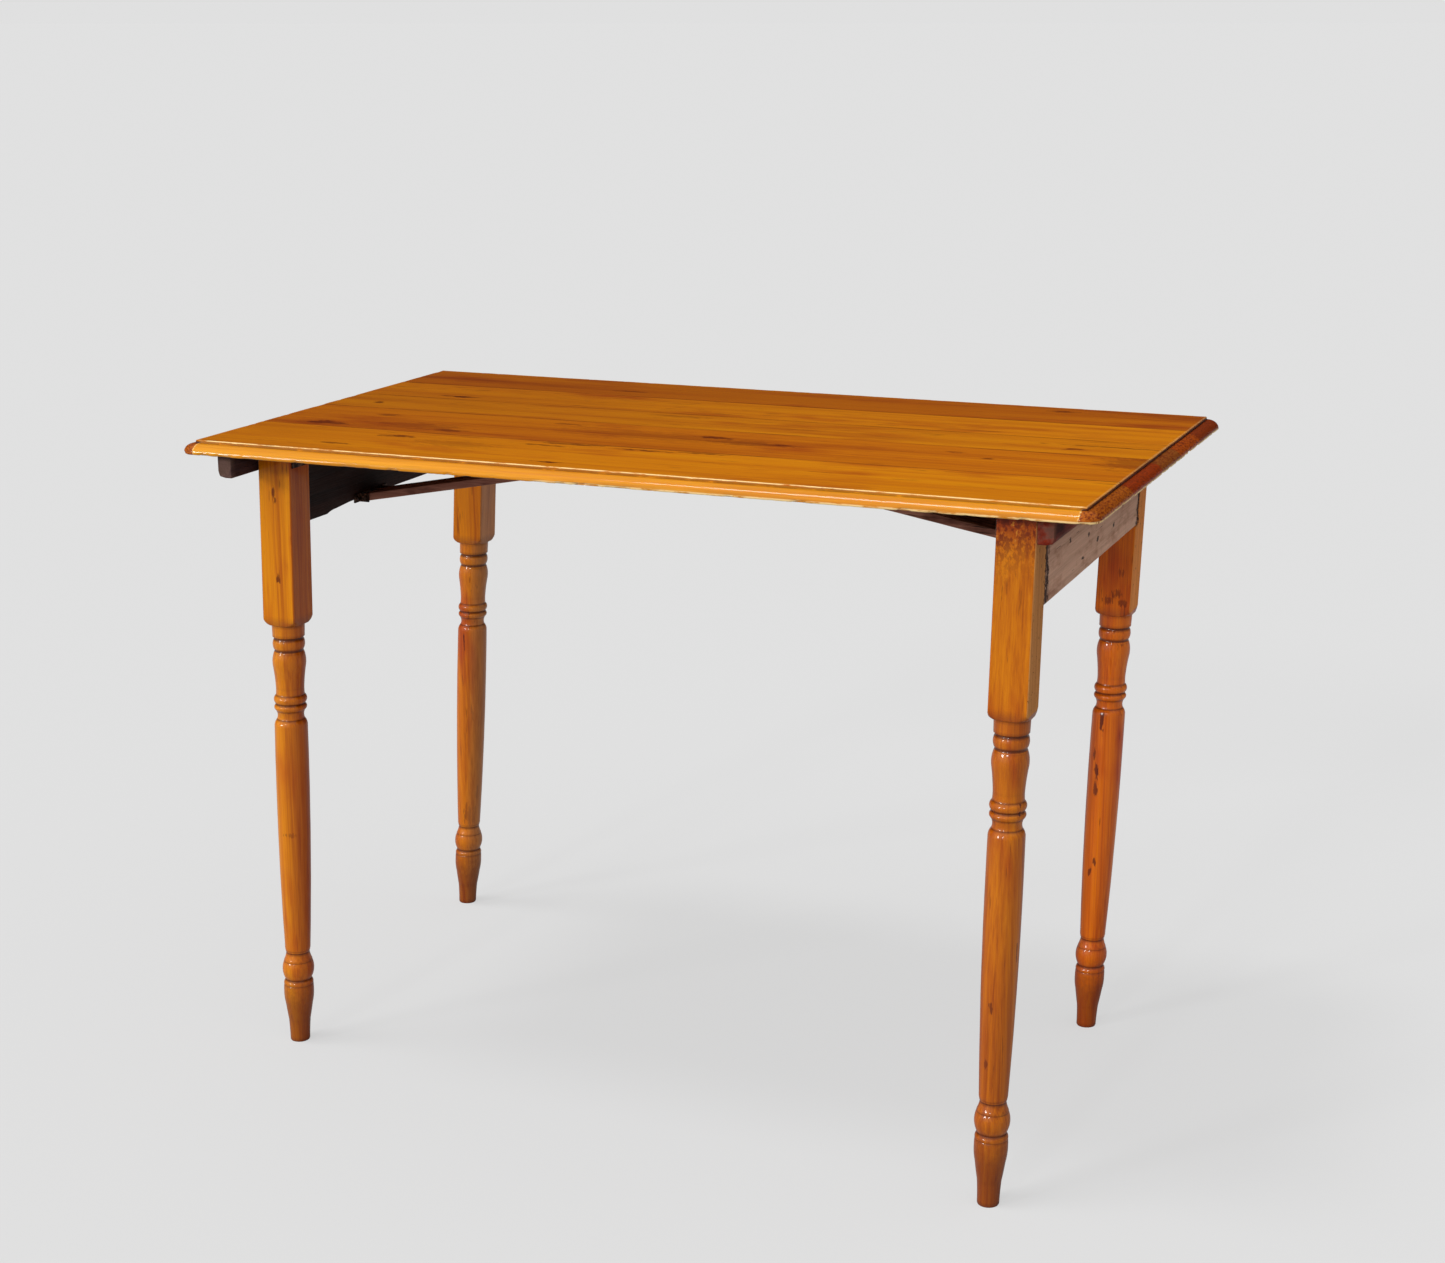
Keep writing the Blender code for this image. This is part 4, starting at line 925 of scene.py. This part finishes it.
for word, side in (("left", -1), ("right", 1)):
    front_foot, front_top = leg_ends["front_" + word]
    back_foot, back_top = leg_ends["back_" + word]
    low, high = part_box(word + "_apron")
    near_end = front_top.y + LEG_SQUARE / 2 + 0.0003
    far_end = back_top.y - LEG_SQUARE / 2 - 0.0003
    outer_x = front_top.x + side * LEG_SQUARE / 2
    middle_x = outer_x - side * APRON_THICKNESS / 2
    outline = rounded_section(APRON_THICKNESS, high.z - low.z, 0.0012)
    sections = []
    for step in range(71):
        part = step / 70
        lean = (front_foot - front_top).lerp(back_foot - back_top, part)
        ring = []
        for a, b in outline:
            point = Vector((middle_x + a, near_end + (far_end - near_end) * part,
                            (low.z + high.z) / 2 + b))
            point = out_of_plumb(hand_worn(point, 0.00015), lean)
            point.z = min(high.z, max(low.z, point.z))
            if word == "left" and point.z < low.z + 0.006:
                point.z += LEFT_STEP * min(1.0, max(0.0, (point.y + 0.094) / 0.006))
                point.z += LEFT_RISE * min(1.0, max(0.0, (point.y + 0.088) / 0.040))
            ring.append(point)
        sections.append(ring)
    bm = loft(sections)
    mark_edges(bm)
    inside_and_painted_shade_mark = bm.verts.layers.float.new("inside_and_painted_shade")
    bm.verts.ensure_lookup_table()
    for number, vert in enumerate(bm.verts):
        a = outline[number % len(outline)].x
        vert[inside_and_painted_shade_mark] = float(-side * a > -APRON_THICKNESS / 2 + 0.0013)
    finish = apron_finish("weathered apron, " + word, 200 + side, shade(226, 178, 150),
                          shade(190, 144, 118), shade(54, 32, 26), shade(34, 20, 18),
                          NAIL_HOLES[word], (near_end, far_end))
    add_piece(word + "_apron_board", bm, finish, word + "_leg_frame", "apron_wood", word + "_apron")


# ---------------------------------------------------------------- braces
# A flat sawn lath on each side, round at the end that turns in the bracket. It runs up to
# the keeper under the middle of the top, and is stained dark all over. Its colour is painted
# lighter than that stain, as painted light where it lies in shade under the top.

BRACE_THICKNESS = 0.008
BRACE_WIDTH = 0.044
BRACE_LEVEL_END = 0.012
BRACES = {"left": (1, math.radians(10.8), 0.4188), "right": (-1, math.radians(9.72), 0.3520)}

# Painted light: these colours are lighter than the real dark stain, to stand in for light under the
# top.
brace_finish_with_painted_light = stained_finish("dark stain with painted light, braces", 0, 300, shade(132, 82, 68),
                              shade(182, 124, 104), shade(190, 140, 116), 0.3)
for word, (inward, slope, length) in BRACES.items():
    turn = next(joint for joint in frame["joints"] if joint["name"] == word + "_brace_fold")
    pivot = Vector(turn["pos_m"])
    along = Vector((inward * math.cos(slope), 0, math.sin(slope)))
    above = Vector((-inward * math.sin(slope), 0, math.cos(slope)))
    half = BRACE_THICKNESS / 2
    stations = [-half * math.cos(math.radians(angle)) for angle in (12, 30, 50, 70, 90)]
    stations += [length * step / 80 for step in range(1, 81)]
    sections = []
    for station in stations:
        round_end = math.sqrt(max(0.0, half ** 2 - min(0.0, station) ** 2)) / half
        end_drop = max(0.0, station - length + BRACE_LEVEL_END) * math.tan(slope)
        ring = []
        for a, b in rounded_section(BRACE_WIDTH, BRACE_THICKNESS, 0.0008, 0.0045):
            rise = b * round_end
            if rise > 0:
                rise -= end_drop * rise / half
            point = pivot + along * station + above * rise + Vector((0, a, 0))
            ring.append(point + noise.noise_vector(point * 45) * 0.00018)
        sections.append(ring)
    bm = loft(sections)
    mark_edges(bm)
    add_piece(word + "_brace_lath", bm, brace_finish_with_painted_light, word + "_brace", "brace_wood",
              word + "_brace")


# ---------------------------------------------------------------- keeper
# Three short dark-stained strips glued side by side under the middle of the top. The
# upper ends of the two braces lie in the grooves between them.

keeper_finish = stained_finish("dark stain, keeper", 0, 330, shade(62, 34, 30), shade(104, 64, 56),
                               shade(150, 106, 92))
for place in ("front", "middle", "back"):
    cheek = frame["nodes"][f"keeper_{place}_cheek"]
    cheek.data.materials.clear()
    cheek.data.materials.append(keeper_finish)
    ease = cheek.modifiers.new("eased edges", "BEVEL")
    ease.width = 0.0006
    ease.segments = 2
    ease.limit_method = "ANGLE"


# ---------------------------------------------------------------- ironwork
# Hinge leaves and brackets of sheet iron, rolled and folded, with round-headed screws and
# wire pins. All of it has a brown skin of old rust.

iron_finish, tree, shader = new_finish("old iron")
rust = cloud(tree, laid(tree, 0, 260, 260, 400), 5.0, 0.7)
broad = cloud(tree, laid(tree, 0, 60, 60, 401), 3.0)
colour = tones(tree, rust, (0.36, shade(44, 34, 30)), (0.52, shade(72, 52, 42)),
               (0.66, shade(122, 74, 44)))
colour = tint(tree, fade(tree, broad, 0.45, 0.70), colour, shade(150, 140, 135), "MULTIPLY")
tree.links.new(colour, shader.inputs["Base Color"])
tree.links.new(work_out(tree, "MULTIPLY_ADD", rust, 0.6, 0.28), shader.inputs["Roughness"])
tree.links.new(fade(tree, rust, 0.62, 0.44), shader.inputs["Metallic"])
raise_grain(tree, shader, rust, 0.0002, 0.6)
for name, node in frame["nodes"].items():
    if "_hinge_" in name or "_screw_" in name or name.endswith(("_bracket", "_brace_pin")):
        node.data.materials.clear()
        node.data.materials.append(iron_finish)
        if name.endswith(("_leaf", "_bracket")):
            ease = node.modifiers.new("filed edges", "BEVEL")
            ease.width = 0.0002
            ease.segments = 2
            ease.limit_method = "ANGLE"
